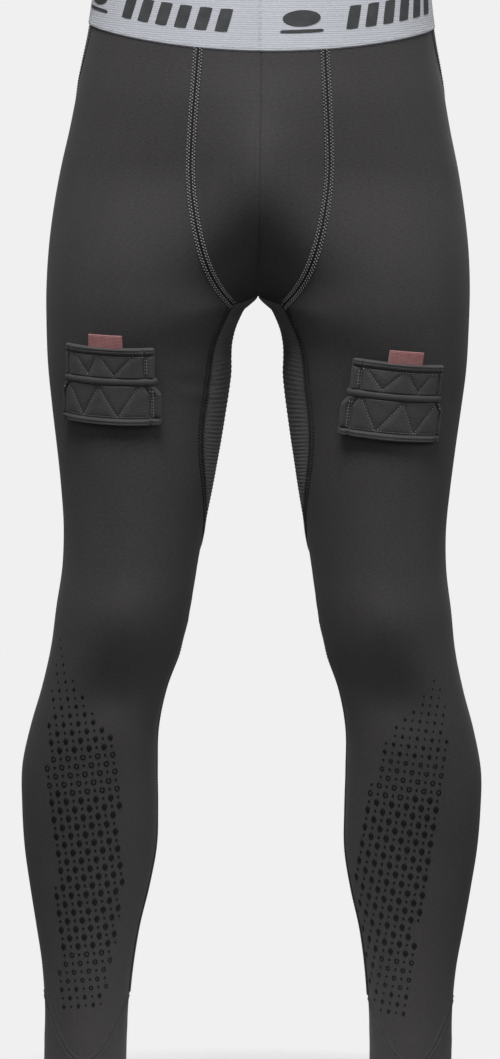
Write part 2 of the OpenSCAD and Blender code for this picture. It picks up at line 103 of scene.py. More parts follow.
# The body shape every 30 mm down: half width to the outer side, half gap to the inner side, how far
# the middle of the section sits back, and its depths to front and back.
STATION_STEP = 30
STATIONS = np.array([
    [124, 0, 0, 86, 88], [127, 0, 0, 88, 91], [131.5, 0, 0, 90, 95], [137, 0, 0, 92, 101],
    [142.5, 0, 1, 92, 107], [149, 0, 2, 91, 111], [154, 0, 3, 90, 112], [157.5, 0, 4, 89, 110],
    [159, 0, 5, 88, 106], [158.5, 0, 5, 85, 99], [157, 15.5, 5, 76, 86], [153.5, 22, 5, 68, 76],
    [149.5, 27.5, 4, 63, 69], [146, 32.5, 3, 59, 63], [143.5, 38, 2, 56, 57], [144, 43, 1, 54, 51],
    [148, 47.5, 0, 51, 46], [151.5, 54, 1, 48, 44], [158, 65, 3, 44, 46], [166.5, 71, 6, 42, 51],
    [172.5, 71.5, 9, 40.5, 55], [172.5, 71, 11, 39.5, 56], [170.5, 71.5, 13, 37.5, 52],
    [166, 76.5, 14, 35, 46], [161, 83.5, 15, 32, 41], [156, 88, 15, 30, 38],
    [153.5, 90.5, 15, 29, 37], [153.5, 91.5, 15, 29.5, 38], [153.5, 91.5, 15, 30, 38.5],
    [153.5, 91.5, 15, 30, 39]])
RISE_START = 150
FORK_LINE = 270
INNER_RISE = FORK_LINE - CROTCH_DEPTH
BEHIND_KNEE = 55
CUFF_START = 770
CUFF_DIP = 50
KNEE_HALF = 30
HEM_LEVEL = 4.75
HEM_HEIGHT = 14
SEAT_CLEFT = 9
KNEECAP = 5
KNEE_HOLLOW = 6
ARCH_GAP = 10
ARCH_HEIGHT = 9
ARCH_FADE = 40


def ease(t):
    c = np.clip(t, 0, 1)
    return c * c * (3 - 2 * c)


def mix(a, b, t):
    return a + (b - a) * t


def bump(x, middle, spread):
    return np.exp(-(((x - middle) / spread) ** 2))


def unit(v):
    return v / np.maximum(np.linalg.norm(v, axis=-1, keepdims=True), 1e-9)


def station(depth, column):
    """Smooth value of one station column at a depth (Catmull-Rom)."""
    last = len(STATIONS) - 1
    place = np.clip(depth / STATION_STEP, 0, last - 0.001)
    i = np.floor(place).astype(int)
    t = place - i
    a, b = STATIONS[np.maximum(0, i - 1), column], STATIONS[i, column]
    c, d = STATIONS[i + 1, column], STATIONS[np.minimum(last, i + 2), column]
    return b + 0.5 * t * (c - a + t * (2 * a - 5 * b + 4 * c - d + t * (3 * (b - c) + d - a)))


def wrap(turn):
    return np.where(turn > 1, turn - 2, np.where(turn < -1, turn + 2, turn))


def rise_share(depth):
    return np.clip((depth - RISE_START) / (FORK_LINE - RISE_START), 0, 1)


def curved_under(depth):
    t = rise_share(depth)
    return np.sin(np.pi / 2 * t * t * (2 - t))


def arch(depth):
    """Extra gap between the legs just under the crotch, which makes its arch round."""
    drop = depth - FORK_LINE
    opened = 1 - (1 - np.clip(drop / ARCH_HEIGHT, 0, 1)) ** 3
    return ARCH_GAP * opened * (1 - ease((drop - ARCH_HEIGHT) / ARCH_FADE))


def surface_at(depth, turn):
    """The cloth's outer face for the wearer's left half."""
    depth, turn = np.broadcast_arrays(np.asarray(depth, float), np.asarray(turn, float))
    u = wrap(turn)
    under = curved_under(depth)
    on_leg = depth >= FORK_LINE
    outer = station(depth, 0)
    inner = np.where(on_leg, station(depth, 1), 0)
    half = np.where(on_leg, (outer - inner) / 2, outer / (1 + under))
    middle = outer - half
    angle = u * np.where(on_leg, np.pi, np.pi / 2 + np.arcsin(under))
    x = middle + half * np.cos(angle)
    x = np.where(on_leg, x + arch(depth) * np.abs(u) ** 6, np.maximum(0, x))
    y = station(depth, 2) + np.where(np.sin(angle) < 0, station(depth, 3), station(depth, 4)) * np.sin(angle)
    sunk = np.sin(np.pi / 2 * rise_share(depth))
    trunk_lift = depth - mix(np.minimum(depth, RISE_START), CROTCH_DEPTH, sunk)
    lift = np.where(on_leg, INNER_RISE * (1 - ease((depth - FORK_LINE) / 90)), trunk_lift)
    lean = WAIST_DROP / 2 * np.sin(angle) * (1 - ease((depth - 60) / 140))
    z = -depth + lean + lift * np.abs(u) ** 5 * (6 - 5 * np.abs(u))
    pouch = -POUCH_BULGE * bump(x, 0, 36) * bump(z, -168, 50)
    seat = -SEAT_CLEFT * bump(x, 0, 20) * bump(z, -175, 55)
    knee = (KNEE_HOLLOW * bump(np.degrees(angle), -104, 36) * bump(z, -548, 24)
            - KNEECAP * bump(np.degrees(angle), -92, 36) * bump(z, -490, 26))
    swell = np.where(y > 0, seat, pouch + np.where(on_leg, knee, 0))
    return np.stack([x, y + swell, z], axis=-1)


PROBE = 0.004   # how far in turn the cloth is felt to each side for its direction


def normal_at(depth, turn):
    """Outward direction of the cloth for the wearer's left half."""
    depth, turn = np.broadcast_arrays(np.asarray(depth, float), np.asarray(turn, float))
    trunk = depth < FORK_LINE
    low = np.where(trunk & (turn <= PROBE - 1), -1, turn - PROBE)
    high = np.where(trunk & (turn >= 1 - PROBE), 1, turn + PROBE)
    up = surface_at(depth - 1, turn) - surface_at(depth + 1, turn)
    return unit(np.cross(up, surface_at(depth, low) - surface_at(depth, high)))


def behind(turn):
    s = np.sin(np.pi * np.asarray(turn, float))
    return np.where(s > 0, s * s, 0)


def level_depth(level, turn):
    level = np.asarray(level, float)
    above = KNEE_DEPTH - KNEE_HALF - BEHIND_KNEE * behind(turn)
    below = KNEE_DEPTH + KNEE_HALF + BEHIND_KNEE * behind(turn)
    cuff = CUFF_START + CUFF_DIP * behind(-np.asarray(turn, float))
    hem = FULL_LENGTH - HEM_HEIGHT
    cases = [level < 0, level < 1, level < 2, level < 3, level < 4, level < HEM_LEVEL]
    spans = [
        BAND_HEIGHT * (level + 1),
        mix(BAND_HEIGHT, FORK_LINE, level),
        mix(FORK_LINE, above, level - 1),
        mix(above, below, level - 2),
        mix(below, cuff, level - 3),
        mix(cuff, hem, (level - 4) / (HEM_LEVEL - 4))]
    return np.select(cases, spans, mix(hem, FULL_LENGTH, (level - HEM_LEVEL) / (5 - HEM_LEVEL)))


# ---------------------------------------------------------------- folds in the cloth
# Each fold: side (or both), front or back, middle x and z, length, width, height and slope.
FOLDS = [
    ("right", -1, 45, -306, 11, 2.2, 0.7, 0.1), ("right", -1, 46, -314, 13, 2.0, -0.8, 0.05),
    ("right", -1, 44, -322, 10, 2.2, 0.6, 0.15), ("left", -1, 42, -316, 9, 2.4, 0.4, -0.1),
    ("both", 1, 97, -452, 34, 5.5, 1.3, 0.1), ("both", 1, 99, -470, 40, 5.0, -1.2, -0.05),
    ("both", 1, 98, -489, 42, 5.5, 1.4, 0.05), ("both", 1, 100, -508, 36, 5.0, -1.0, -0.1),
    ("both", 1, 60, -262, 34, 6.0, 1.0, 0.35), ("both", 1, 74, -276, 38, 6.0, -0.9, 0.3),
    ("both", -1, 118, -806, 22, 4.0, 0.5, 0.1), ("both", 1, 122, -800, 24, 4.5, 0.8, -0.12)]


def fold_height(side, p):
    """How far the cloth stands in or out at a point, from its folds and a faint slack."""
    x, y, z = p[..., 0], p[..., 1], p[..., 2]
    height = 0.12 * np.sin(x / 17 + z / 31) * np.sin(z / 23 - x / 41 + SIDES[side])
    for where, facing, middle, z0, length, width, rise, slope in FOLDS:
        if where not in (side, "both"):
            continue
        across = z - z0 - slope * (x - middle)
        fold = rise * bump(x, middle, length) * bump(across, 0, width)
        height = height + np.where(y * facing > 0, fold, 0)
    return height * ease((-z - 90) / 60)


def cloth_point(side, depth, turn, off):
    """A point off the cloth's outer face, in metres in the frame."""
    base = surface_at(depth, turn)
    lift = np.asarray(off) + fold_height(side, base)
    point = base + normal_at(depth, turn) * lift[..., None]
    point[..., 0] = np.where(base[..., 2] > -FORK_LINE, np.maximum(0, point[..., 0]), point[..., 0])
    return point * (SIDES[side] * MM, MM, MM)


def world_normal(side, depth, turn):
    return normal_at(depth, turn) * (SIDES[side], 1, 1)


# ---------------------------------------------------------------- seam lines
RIB_FRONT = -0.77
POUCH_NIP = 0.021
RIB_BACK = 0.75
CALF_BACK = 0.93
BEND_LEVEL = 1.36


def turn_per_mm(level, turn):
    depth = level_depth(level, turn)
    width = surface_at(depth, turn + 0.01) - surface_at(depth, turn - 0.01)
    return 0.02 / np.linalg.norm(width, axis=-1)


def back_seam(level):
    return mix(RIB_BACK, CALF_BACK, ease((np.asarray(level, float) - 2) / 1.6))


def twin_seam(level):
    back = back_seam(level)
    return back - 2 + (SEAM_WIDTH + 3) * turn_per_mm(level, back)


def front_seam(level):
    level = np.asarray(level, float)
    share = np.clip((level - BEND_LEVEL) / (2 - BEND_LEVEL), 0, 1) ** 2
    bent = mix(RIB_FRONT, twin_seam(2.0), share) - POUCH_NIP * bump(level, 0.7, 0.28)
    return np.where(level < 2, bent, twin_seam(np.maximum(level, 2)))


def side_seam(level):
    level = np.asarray(level, float)
    return 0.2 * ease(level / 0.32) - 0.09 - 0.03 * ease((level - 0.45) / 0.55)


def centre_edge(level):
    """The turn where the centre seam's edge lies."""
    depth = level_depth(level, 0.0)
    under = curved_under(depth)
    half = station(depth, 0) / (1 + under)
    reach = np.pi / 2 + np.arcsin(under)
    return np.arccos((HALF_SEAM - station(depth, 0) + half) / half) / reach


def seam_edge(level, line, way):
    """A turn half a seam before (-1) or after (1) a seam line."""
    turn = line(level)
    return turn + way * HALF_SEAM * turn_per_mm(level, turn)


def level_steps(first, last, step):
    """Levels about step millimetres apart down the outer side."""
    fine = np.linspace(first, last, 1500)
    depth = level_depth(fine, 0.0)
    count = max(2, round(float(depth[-1] - depth[0]) / step) + 1)
    return np.interp(np.linspace(depth[0], depth[-1], count), depth, fine)


# ---------------------------------------------------------------- mesh building
CLOTH_SHARP = 40    # degrees past which an edge stays sharp
SMALL_SHARP = 60
NEVER_SHARP = 180


def new_object(name, points, faces, uv, material, sharp=CLOTH_SHARP):
    mesh = bpy.data.meshes.new(name)
    mesh.from_pydata(points.tolist(), [], faces if isinstance(faces, list) else faces.tolist())
    if uv is not None:
        layer = mesh.uv_layers.new(name="UVMap")
        corner = np.empty(len(mesh.loops), dtype=np.int32)
        mesh.loops.foreach_get("vertex_index", corner)
        layer.data.foreach_set("uv", np.asarray(uv, np.float32)[corner].ravel())
    mesh.polygons.foreach_set("use_smooth", [True] * len(mesh.polygons))
    mesh.set_sharp_from_angle(angle=math.radians(sharp))
    mesh.validate()
    obj = bpy.data.objects.new(name, mesh)
    bpy.context.collection.objects.link(obj)
    mesh.materials.append(material)
    return obj


def grid_faces(rows, cols, start=0, closed=False, flip=False):
    r, c = np.meshgrid(np.arange(rows - 1), np.arange(cols if closed else cols - 1), indexing="ij")
    n = (c + 1) % cols
    here, below = start + r * cols, start + (r + 1) * cols
    faces = np.stack([here + c, below + c, below + n, here + n], axis=-1).reshape(-1, 4)
    return faces[:, ::-1] if flip else faces


def rim_faces(line, partner, flip=False, closed=False):
    """Quads between two lines of point numbers."""
    if closed:
        line, partner = np.append(line, line[0]), np.append(partner, partner[0])
    faces = np.stack([line[:-1], line[1:], partner[1:], partner[:-1]], axis=-1)
    return faces[:, ::-1] if flip else faces


def grid_uv(outer):
    """Metres around and down the cloth for each grid point."""
    around = np.linalg.norm(np.diff(outer, axis=1), axis=-1)
    down = np.linalg.norm(np.diff(outer, axis=0), axis=-1)
    u = np.concatenate([np.zeros((outer.shape[0], 1)), np.cumsum(around, axis=1)], axis=1)
    v = np.concatenate([np.zeros((1, outer.shape[1])), np.cumsum(down, axis=0)], axis=0)
    return np.stack([u - u.mean(axis=1, keepdims=True), -v], axis=-1)


def shell_faces(rows, cols, start=0, closed=False, flip=False):
    """Faces of a closed sheet between an outer grid and the inner grid numbered after it."""
    total = rows * cols
    number = start + np.arange(total).reshape(rows, cols)
    faces = [
        grid_faces(rows, cols, start, closed, flip),
        grid_faces(rows, cols, start + total, closed, not flip),
        rim_faces(number[0], number[0] + total, flip, closed),
        rim_faces(number[-1], number[-1] + total, not flip, closed)]
    if not closed:
        faces.append(rim_faces(number[:, 0], number[:, 0] + total, not flip))
        faces.append(rim_faces(number[:, -1], number[:, -1] + total, flip))
    return np.concatenate(faces)


def shell(name, outer, inner, material, closed=False, flip=False):
    """A closed sheet between two grids of points."""
    uv = grid_uv(outer).reshape(-1, 2)
    points = np.concatenate([outer.reshape(-1, 3), inner.reshape(-1, 3)])
    faces = shell_faces(*outer.shape[:2], 0, closed, flip)
    return new_object(name, points, faces, np.concatenate([uv, uv]), material)


def scatter(name, template, origins, x_axes, z_axes, sizes, material):
    """Copies of a template, each with its own place, directions and size."""
    shape, faces = template
    x_axes = unit(x_axes)
    y_axes = unit(np.cross(z_axes, x_axes))
    z_axes = np.cross(x_axes, y_axes)
    sizes = np.broadcast_to(np.asarray(sizes, float), origins.shape) * MM
    local = shape[None, :, :] * sizes[:, None, :]
    points = (origins[:, None, :] + local[..., :1] * x_axes[:, None, :]
              + local[..., 1:2] * y_axes[:, None, :] + local[..., 2:] * z_axes[:, None, :])
    count = len(origins)
    numbers = faces[None, :, :] + (np.arange(count) * len(shape))[:, None, None]
    numbers = numbers.reshape(-1, faces.shape[1])
    uv = np.tile(shape[:, :2] * MM, (count, 1)) + np.repeat(np.arange(count) * 0.0037, len(shape))[:, None]
    return new_object(name, points.reshape(-1, 3), numbers, uv, material, SMALL_SHARP)


def bar_template():
    """A plump stitch, one unit long, wide and high."""
    rings = [(-0.5, 0.3), (-0.28, 0.95), (0.28, 0.95), (0.5, 0.3)]
    corners = [(0.5, 0.0), (0.0, 0.5), (-0.5, 0.0), (0.0, -0.5)]
    points = np.array([(x, r * y, r * z) for x, r in rings for y, z in corners])
    faces = [(4 * k + i, 4 * k + (i + 1) % 4, 4 * k + 4 + (i + 1) % 4, 4 * k + 4 + i)
             for k in range(3) for i in range(4)]
    faces += [(3, 2, 1, 0), (12, 13, 14, 15)]
    return points, np.array(faces)


DOT_SIDES = 12


def print_template(power, hole=0.0):
    """A low closed dot: a pointed or round oval, one unit across, solid or with a hole."""
    angle = np.arange(DOT_SIDES) * 2 * np.pi / DOT_SIDES
    c, s = np.cos(angle), np.sin(angle)
    edge = 0.5 * np.stack([np.sign(c) * np.abs(c) ** power, np.sign(s) * np.abs(s) ** power], axis=-1)
    middle = [(hole + 0.08, 1.0), (hole, 0.0)] if hole else [(0.3, 1.1), (0.02, 1.1), (0.02, 0.0)]
    rings = [(1.0, 0.0), (0.86, 1.0)] + middle
    points = np.concatenate([np.column_stack([edge * r, np.full(DOT_SIDES, h)]) for r, h in rings])
    here = np.arange(len(points)).reshape(-1, DOT_SIDES)
    above = np.roll(here, -1, axis=0)
    faces = np.stack([here, np.roll(here, -1, axis=1), np.roll(above, -1, axis=1), above], axis=-1)
    return points, faces.reshape(-1, 4)


BAR = bar_template()


# ---------------------------------------------------------------- materials
def srgb(r, g, b):
    """A colour from its display values."""
    return tuple(((v / 255 + 0.055) / 1.055) ** 2.4 if v > 10 else v / 255 / 12.92 for v in (r, g, b)) + (1,)


def nodes_of(name):
    material = bpy.data.materials.new(name)
    material.use_nodes = True
    tree = material.node_tree
    return material, tree.nodes, tree.links, tree.nodes["Principled BSDF"]


def texture(nodes, links, kind, scale, stretch=(1, 1, 1), turn=0.0, **settings):
    """A texture node that reads the cloth's own metres, stretched along its grain."""
    coordinate = nodes.new("ShaderNodeTexCoord")
    mapping = nodes.new("ShaderNodeMapping")
    mapping.inputs["Scale"].default_value = stretch
    mapping.inputs["Rotation"].default_value = (0, 0, turn)
    links.new(coordinate.outputs["UV"], mapping.inputs["Vector"])
    node = nodes.new(kind)
    node.inputs["Scale"].default_value = scale
    for key, value in settings.items():
        if hasattr(node, key):
            setattr(node, key, value)
        else:
            node.inputs[key.replace("_", " ").title()].default_value = value
    links.new(mapping.outputs["Vector"], node.inputs["Vector"])
    return node


def ramp(nodes, links, source, stops):
    node = nodes.new("ShaderNodeValToRGB")
    elements = node.color_ramp.elements
    for i, (place, colour) in enumerate(stops):
        element = elements[i] if i < 2 else elements.new(place)
        element.position = place
        element.color = colour
    links.new(source, node.inputs["Fac"])
    return node.outputs["Color"]


def blend_colours(nodes, links, way, factor, a, b):
    node = nodes.new("ShaderNodeMix")
    node.data_type = "RGBA"
    node.blend_type = way
    for socket, value in ((node.inputs[0], factor), (node.inputs[6], a), (node.inputs[7], b)):
        if isinstance(value, (int, float, tuple)):
            socket.default_value = value
        else:
            links.new(value, socket)
    return node.outputs[2]


def maths(nodes, links, what, a, b=0.5):
    node = nodes.new("ShaderNodeMath")
    node.operation = what
    for socket, value in ((node.inputs[0], a), (node.inputs[1], b)):
        if isinstance(value, (int, float)):
            socket.default_value = value
        else:
            links.new(value, socket)
    return node.outputs[0]


def grey(v):
    return (v, v, v, 1)


def toned(colour, share):
    return tuple(c * share for c in colour[:3]) + (1,)


def shaded(nodes, links, base, amount, source, low, high=0.7, darkest=0.3):
    """The base colour darkened where the source is below high."""
    shade = ramp(nodes, links, source, [(darkest, grey(low)), (high, grey(1))])
    return blend_colours(nodes, links, "MULTIPLY", amount, base, shade)


def raise_surface(nodes, links, shader, height, distance):
    node = nodes.new("ShaderNodeBump")
    node.inputs["Distance"].default_value = distance
    links.new(height, node.inputs["Height"])
    links.new(node.outputs["Normal"], shader.inputs["Normal"])
    return node


WAVE_PERIOD = 0.314159   # a wave texture of scale 1 repeats after this many units


def knit(name, colour, heather, wale=0.0011, course=0.0009, depth=0.00012, roughness=0.66, sheen=0.07,
         streak=0.1):
    """Stretch knit: columns and rows of loops, heathered yarn and a soft cloudiness."""
    material, nodes, links, shader = nodes_of(name)
    columns = texture(nodes, links, "ShaderNodeTexWave", WAVE_PERIOD / wale, distortion=0.6, detail=1)
    rows = texture(nodes, links, "ShaderNodeTexWave", WAVE_PERIOD / course, bands_direction="Y",
                   distortion=0.8, detail=1)
    yarn = texture(nodes, links, "ShaderNodeTexNoise", 900, (0.35, 1.0, 1.0), detail=3)
    clouds = texture(nodes, links, "ShaderNodeTexNoise", 34, (1.0, 0.45, 1.0), detail=4)
    tones = [(0.3, toned(colour, 1 - heather)), (0.7, toned(colour, 1 + heather))]
    base = ramp(nodes, links, yarn.outputs["Fac"], tones)
    base = shaded(nodes, links, base, 1.0, clouds.outputs["Fac"], 1 - streak)
    loops = maths(nodes, links, "MULTIPLY", columns.outputs["Fac"], rows.outputs["Fac"])
    base = shaded(nodes, links, base, 0.35, loops, 0.6, 0.6, 0.0)
    links.new(base, shader.inputs["Base Color"])
    relief = maths(nodes, links, "ADD", loops, maths(nodes, links, "MULTIPLY", yarn.outputs["Fac"], 0.5))
    raised = raise_surface(nodes, links, shader, relief, depth)
    raised.inputs["Strength"].default_value = 0.6
    rough = [(0.3, grey(roughness - 0.05)), (0.7, grey(roughness + 0.06))]
    links.new(ramp(nodes, links, clouds.outputs["Fac"], rough), shader.inputs["Roughness"])
    shader.inputs["Sheen Weight"].default_value = sheen
    shader.inputs["Sheen Roughness"].default_value = 0.45
    shader.inputs["Specular IOR Level"].default_value = 0.2
    return material


def thread(name, colour):
    """Twisted sewing thread."""
    material, nodes, links, shader = nodes_of(name)
    twist = texture(nodes, links, "ShaderNodeTexWave", WAVE_PERIOD / 0.0005, turn=0.7, distortion=0.5)
    fuzz = texture(nodes, links, "ShaderNodeTexNoise", 700, detail=2)
    base = ramp(nodes, links, twist.outputs["Fac"], [(0.2, toned(colour, 0.6)), (0.8, colour)])
    base = shaded(nodes, links, base, 0.5, fuzz.outputs["Fac"], 0.65)
    links.new(base, shader.inputs["Base Color"])
    raise_surface(nodes, links, shader, twist.outputs["Fac"], 0.00008)
    shader.inputs["Roughness"].default_value = 0.5
    shader.inputs["Sheen Weight"].default_value = 0.2
    return material


def woven(name, light, dark, pitch, roughness=0.7, depth=0.0002):
    """Plain woven tape: crossing yarns in two near tones."""
    material, nodes, links, shader = nodes_of(name)
    weave = texture(nodes, links, "ShaderNodeTexBrick", 1 / pitch, offset=0.5,
                    mortar_size=0.12, brick_width=1.6, row_height=0.8)
    weave.inputs["Color1"].default_value = light
    weave.inputs["Color2"].default_value = tuple(mix(a, b, 0.35) for a, b in zip(light[:3], dark[:3])) + (1,)
    weave.inputs["Mortar"].default_value = dark
    fuzz = texture(nodes, links, "ShaderNodeTexNoise", 500, (0.4, 1, 1), detail=3)
    base = shaded(nodes, links, weave.outputs["Color"], 0.6, fuzz.outputs["Fac"], 0.7)
    links.new(base, shader.inputs["Base Color"])
    raise_surface(nodes, links, shader, weave.outputs["Fac"], depth).invert = True
    shader.inputs["Roughness"].default_value = roughness
    shader.inputs["Sheen Weight"].default_value = 0.3
    return material


def film(name, colour, roughness):
    """Printed rubbery film: slightly glossy, with a fine orange-peel skin."""
    material, nodes, links, shader = nodes_of(name)
    peel = texture(nodes, links, "ShaderNodeTexNoise", 1600, detail=2)
    dust = texture(nodes, links, "ShaderNodeTexNoise", 120, detail=3)
    base = ramp(nodes, links, dust.outputs["Fac"], [(0.35, colour), (0.7, toned(colour, 1.5))])
    links.new(base, shader.inputs["Base Color"])
    rough = ramp(nodes, links, dust.outputs["Fac"], [(0.3, grey(roughness)), (0.7, grey(roughness + 0.15))])
    links.new(rough, shader.inputs["Roughness"])
    raise_surface(nodes, links, shader, peel.outputs["Fac"], 0.00003)
    shader.inputs["Specular IOR Level"].default_value = 0.25
    return material


MAIN = knit("main_cloth", srgb(64, 62, 63), 0.16)
RIB = knit("rib_cloth", srgb(98, 96, 96), 0.2, wale=0.0009, course=0.0028, depth=0.0003, roughness=0.7)
LINER = knit("liner_mesh", srgb(52, 51, 52), 0.2, wale=0.0016, course=0.0016, depth=0.0005)
TAB = knit("tab_cloth", srgb(75, 73, 74), 0.18, wale=0.0009, course=0.0008, depth=0.00018, roughness=0.68)
ELASTIC = knit("waist_elastic", srgb(196, 199, 206), 0.06, wale=0.0007, course=0.0016, depth=0.0003,
               roughness=0.75, sheen=0.05, streak=0.05)
# Seam binding tape, its colour set darker than the cloth as painted shade for the seam grooves.
BINDING_WITH_GROOVE_SHADE = knit("seam_binding_with_groove_shade", srgb(36, 35, 36), 0.15, wale=0.0006, course=0.0006)
PALE_THREAD = thread("pale_thread", srgb(150, 148, 149))
TONAL_THREAD = thread("tonal_thread", srgb(104, 102, 103))
# Dark thread for seams; on the flaps the same colour makes unbroken lines in the hem and border grooves,
# painted shade.
DARK_THREAD_AND_GROOVE_SHADE = thread("dark_thread_and_groove_shade", srgb(26, 25, 26))
FLAP_THREAD = thread("flap_thread", srgb(150, 148, 149))
BAND_THREAD = thread("band_thread", srgb(222, 224, 230))
MARK = film("band_mark", srgb(56, 57, 59), 0.6)
GRIP = film("grip_rubber", srgb(9, 8, 9), 0.5)
LABEL = woven("label_tape", srgb(225, 226, 228), srgb(190, 191, 194), 0.0007)
RED = woven("pull_tape", srgb(192, 130, 128), srgb(112, 66, 66), 0.0013)
HOOK = woven("hook_tape", srgb(40, 40, 41), srgb(16, 16, 16), 0.0012)
LOOP = woven("loop_tape", srgb(52, 51, 52), srgb(24, 24, 24), 0.0009, roughness=0.95, depth=0.0005)


def follow_leg(obj):
    """The piece's place is baked into its mesh; no body carries it."""
    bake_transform(obj)


# ---------------------------------------------------------------- cloth panels
def panel(side, name, levels, near, far, cols, material, nodes, crosses_knee, relief=None):
    """A panel between two seam edges, each a turn for every level."""
    level = np.asarray(levels)[:, None]
    share = np.linspace(0, 1, cols + 1)[None, :]
    turn = mix(near(level), far(level), share)
    depth = level_depth(level, turn)
    top = relief(depth, share) if relief else np.zeros(turn.shape)
    outer = cloth_point(side, depth, turn, top)
    inner = cloth_point(side, depth, turn, top * 0 - CLOTH)
    obj = shell(f"{side}_{name}", outer, inner, material, flip=SIDES[side] < 0)
    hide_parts(*[f"{side}_{node}" for node in nodes])
    if crosses_knee:
        follow_leg(obj)
    else:
        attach(obj, "hips")
    return obj


BAND_TUCK = -0.3   # level where the panels' upper edges end, under the waistband
ABOVE_CROTCH = 0.999
RIB_PITCH = 2.7
RIB_RISE = 0.5


def rib_relief(depth, share):
    """Rounded ribs that run across the inner thigh panel."""
    wave = np.abs(np.sin(np.pi * depth / RIB_PITCH)) ** 0.7
    return RIB_RISE * wave * np.clip(np.minimum(share, 1 - share) * 12, 0, 1)


def make_panels(side):
    pouch_edge = lambda l: seam_edge(l, front_seam, -1)
    front_edge = lambda l: seam_edge(l, front_seam, 1)
    side_near = lambda l: seam_edge(l, side_seam, -1)
    side_far = lambda l: seam_edge(l, side_seam, 1)
    back_near = lambda l: seam_edge(l, back_seam, -1)
    back_far = lambda l: seam_edge(l, back_seam, 1) - 2
    panel(side, "pouch_cloth", level_steps(BAND_TUCK, ABOVE_CROTCH, 3), lambda l: -centre_edge(l),
          pouch_edge, 16, MAIN, ["pouch_panel"], False)
    panel(side, "front_cloth", level_steps(BAND_TUCK, 4, 4), front_edge, side_near, 34, MAIN,
          ["front_panel", "shin_front", "knee_section"], True)
    panel(side, "seat_cloth", level_steps(BAND_TUCK, 1, 5), side_far, centre_edge, 30, MAIN,
          ["seat_panel"], False)
    panel(side, "back_cloth", level_steps(1.04, 4, 5), side_far, back_near, 28, MAIN,
          ["back_panel", "shin_back"], True)
    panel(side, "rib_cloth", level_steps(1.001, 2.0, RIB_PITCH / 6), back_far, pouch_edge, 22, RIB,
          ["rib_panel"], True, rib_relief)
    panel(side, "inseam_cloth", level_steps(2.0, 4, 5), back_far, pouch_edge, 3, MAIN,
          [], True)


# ---------------------------------------------------------------- seams
def seam_path(side, levels, line):
    """Points and outward directions along a seam line."""
    turn = line(levels)
    depth = level_depth(levels, turn)
    return cloth_point(side, depth, turn, np.zeros(len(levels))), world_normal(side, depth, turn)


def spaced(points, normals, pitch, first=0.5):
    """Places along a path at an even pitch in millimetres, with directions along it and outward."""
    length = np.concatenate([[0], np.cumsum(np.linalg.norm(np.diff(points, axis=0), axis=-1))])
    at = np.arange(first * pitch * MM, length[-1], pitch * MM)
    place = np.stack([np.interp(at, length, points[:, k]) for k in range(3)], axis=-1)
    out = unit(np.stack([np.interp(at, length, normals[:, k]) for k in range(3)], axis=-1))
    tangent = np.gradient(points, axis=0)
    along = unit(np.stack([np.interp(at, length, tangent[:, k]) for k in range(3)], axis=-1))
    return place, along, out


# Across a flatlock seam: place from edge to edge and height, two stitched ridges and a groove.
FLATLOCK = [(-1.0, -0.25), (-0.86, 0.35), (-0.5, 0.62), (-0.18, 0.45), (0.0, 0.0), (0.18, 0.45),
            (0.5, 0.62), (0.86, 0.35), (1.0, -0.25)]
LOW_SEAM = [(-1.0, -0.25), (-0.86, 0.1), (-0.5, 0.3), (-0.14, 0.2), (0.0, -0.1), (0.14, 0.2),
            (0.5, 0.3), (0.86, 0.1), (1.0, -0.25)]
LOW_ROWS = [(-1.6, 0.3, 0.5), (1.6, 0.3, 0.5)]
SEAM_SINK = 0.5


def seam_strip(name, points, normals, profile, half_width, material, closed=False):
    """A strip of the profile's shape along a path, whose end meets its start when it is closed."""
    round_path = np.roll(points, -1, axis=0) - np.roll(points, 1, axis=0)
    tangent = round_path if closed else np.gradient(points, axis=0)
    across = unit(np.cross(normals, tangent))
    place = [points + across * s * half_width * MM + normals * h * MM for s, h in profile]
    under = [points + across * s * half_width * MM - normals * CLOTH * MM for s, h in profile]
    if closed:
        return shell(name, np.stack(place), np.stack(under), material, closed=True, flip=True)
    return shell(name, np.stack(place, axis=1), np.stack(under, axis=1), material)


def stitch_rows(name, points, normals, rows, material, pitch, size, lean):
    """Rows of stitches along a path. Each row has a distance from the seam's middle, a height and a
    place in the pitch where it starts; lean is how far the stitches turn across the seam."""
    found = []
    for offset, height, first in rows:
        place, along, out = spaced(points, normals, pitch, first)
        across = np.cross(out, along)
        found.append((place + across * offset * MM + out * height * MM, unit(along + across * lean), out))
    origins, x_axes, z_axes = [np.concatenate(part) for part in zip(*found)]
    return scatter(name, BAR, origins, x_axes, z_axes, size, material)


LADDER_ROWS = [(-2.9, 0.5, 0.5), (-1.4, 0.62, 1.0), (1.4, 0.62, 0.6), (2.9, 0.5, 1.1)]


def ladder(name, points, normals, material):
    """The dotted rows that show on a flatlock seam."""
    return stitch_rows(name, points, normals, LADDER_ROWS, material, 2.4, (1.45, 1.15, 0.95), 0.6)


def running(name, points, normals, rows, material, pitch=2.6, size=(1.9, 0.7, 0.7)):
    """Rows of stitches that run along the seam."""
    return stitch_rows(name, points, normals, rows, material, pitch, size, 0.0)


def place_seam(objects, nodes, crosses_knee):
    for obj in objects:
        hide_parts(*nodes)
        if crosses_knee:
            follow_leg(obj)
        else:
            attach(obj, "hips")


SEAM_STEP = 3
SEAT_LEVEL = 1.02   # level of the seam under the seat


def down_seam(side, name, first, last, line, stitch_material, nodes, crosses_knee):
    levels = level_steps(first, last, SEAM_STEP)
    points, normals = seam_path(side, levels, line)
    # The binding's dark colour here is partly painted shade for the seam's groove.
    strip = seam_strip(f"{side}_{name}", points, normals, FLATLOCK, HALF_SEAM, BINDING_WITH_GROOVE_SHADE)
    stitches = ladder(f"{side}_{name}_stitches", points, normals, stitch_material)
    place_seam([strip, stitches], [f"{side}_{node}" for node in nodes], crosses_knee)


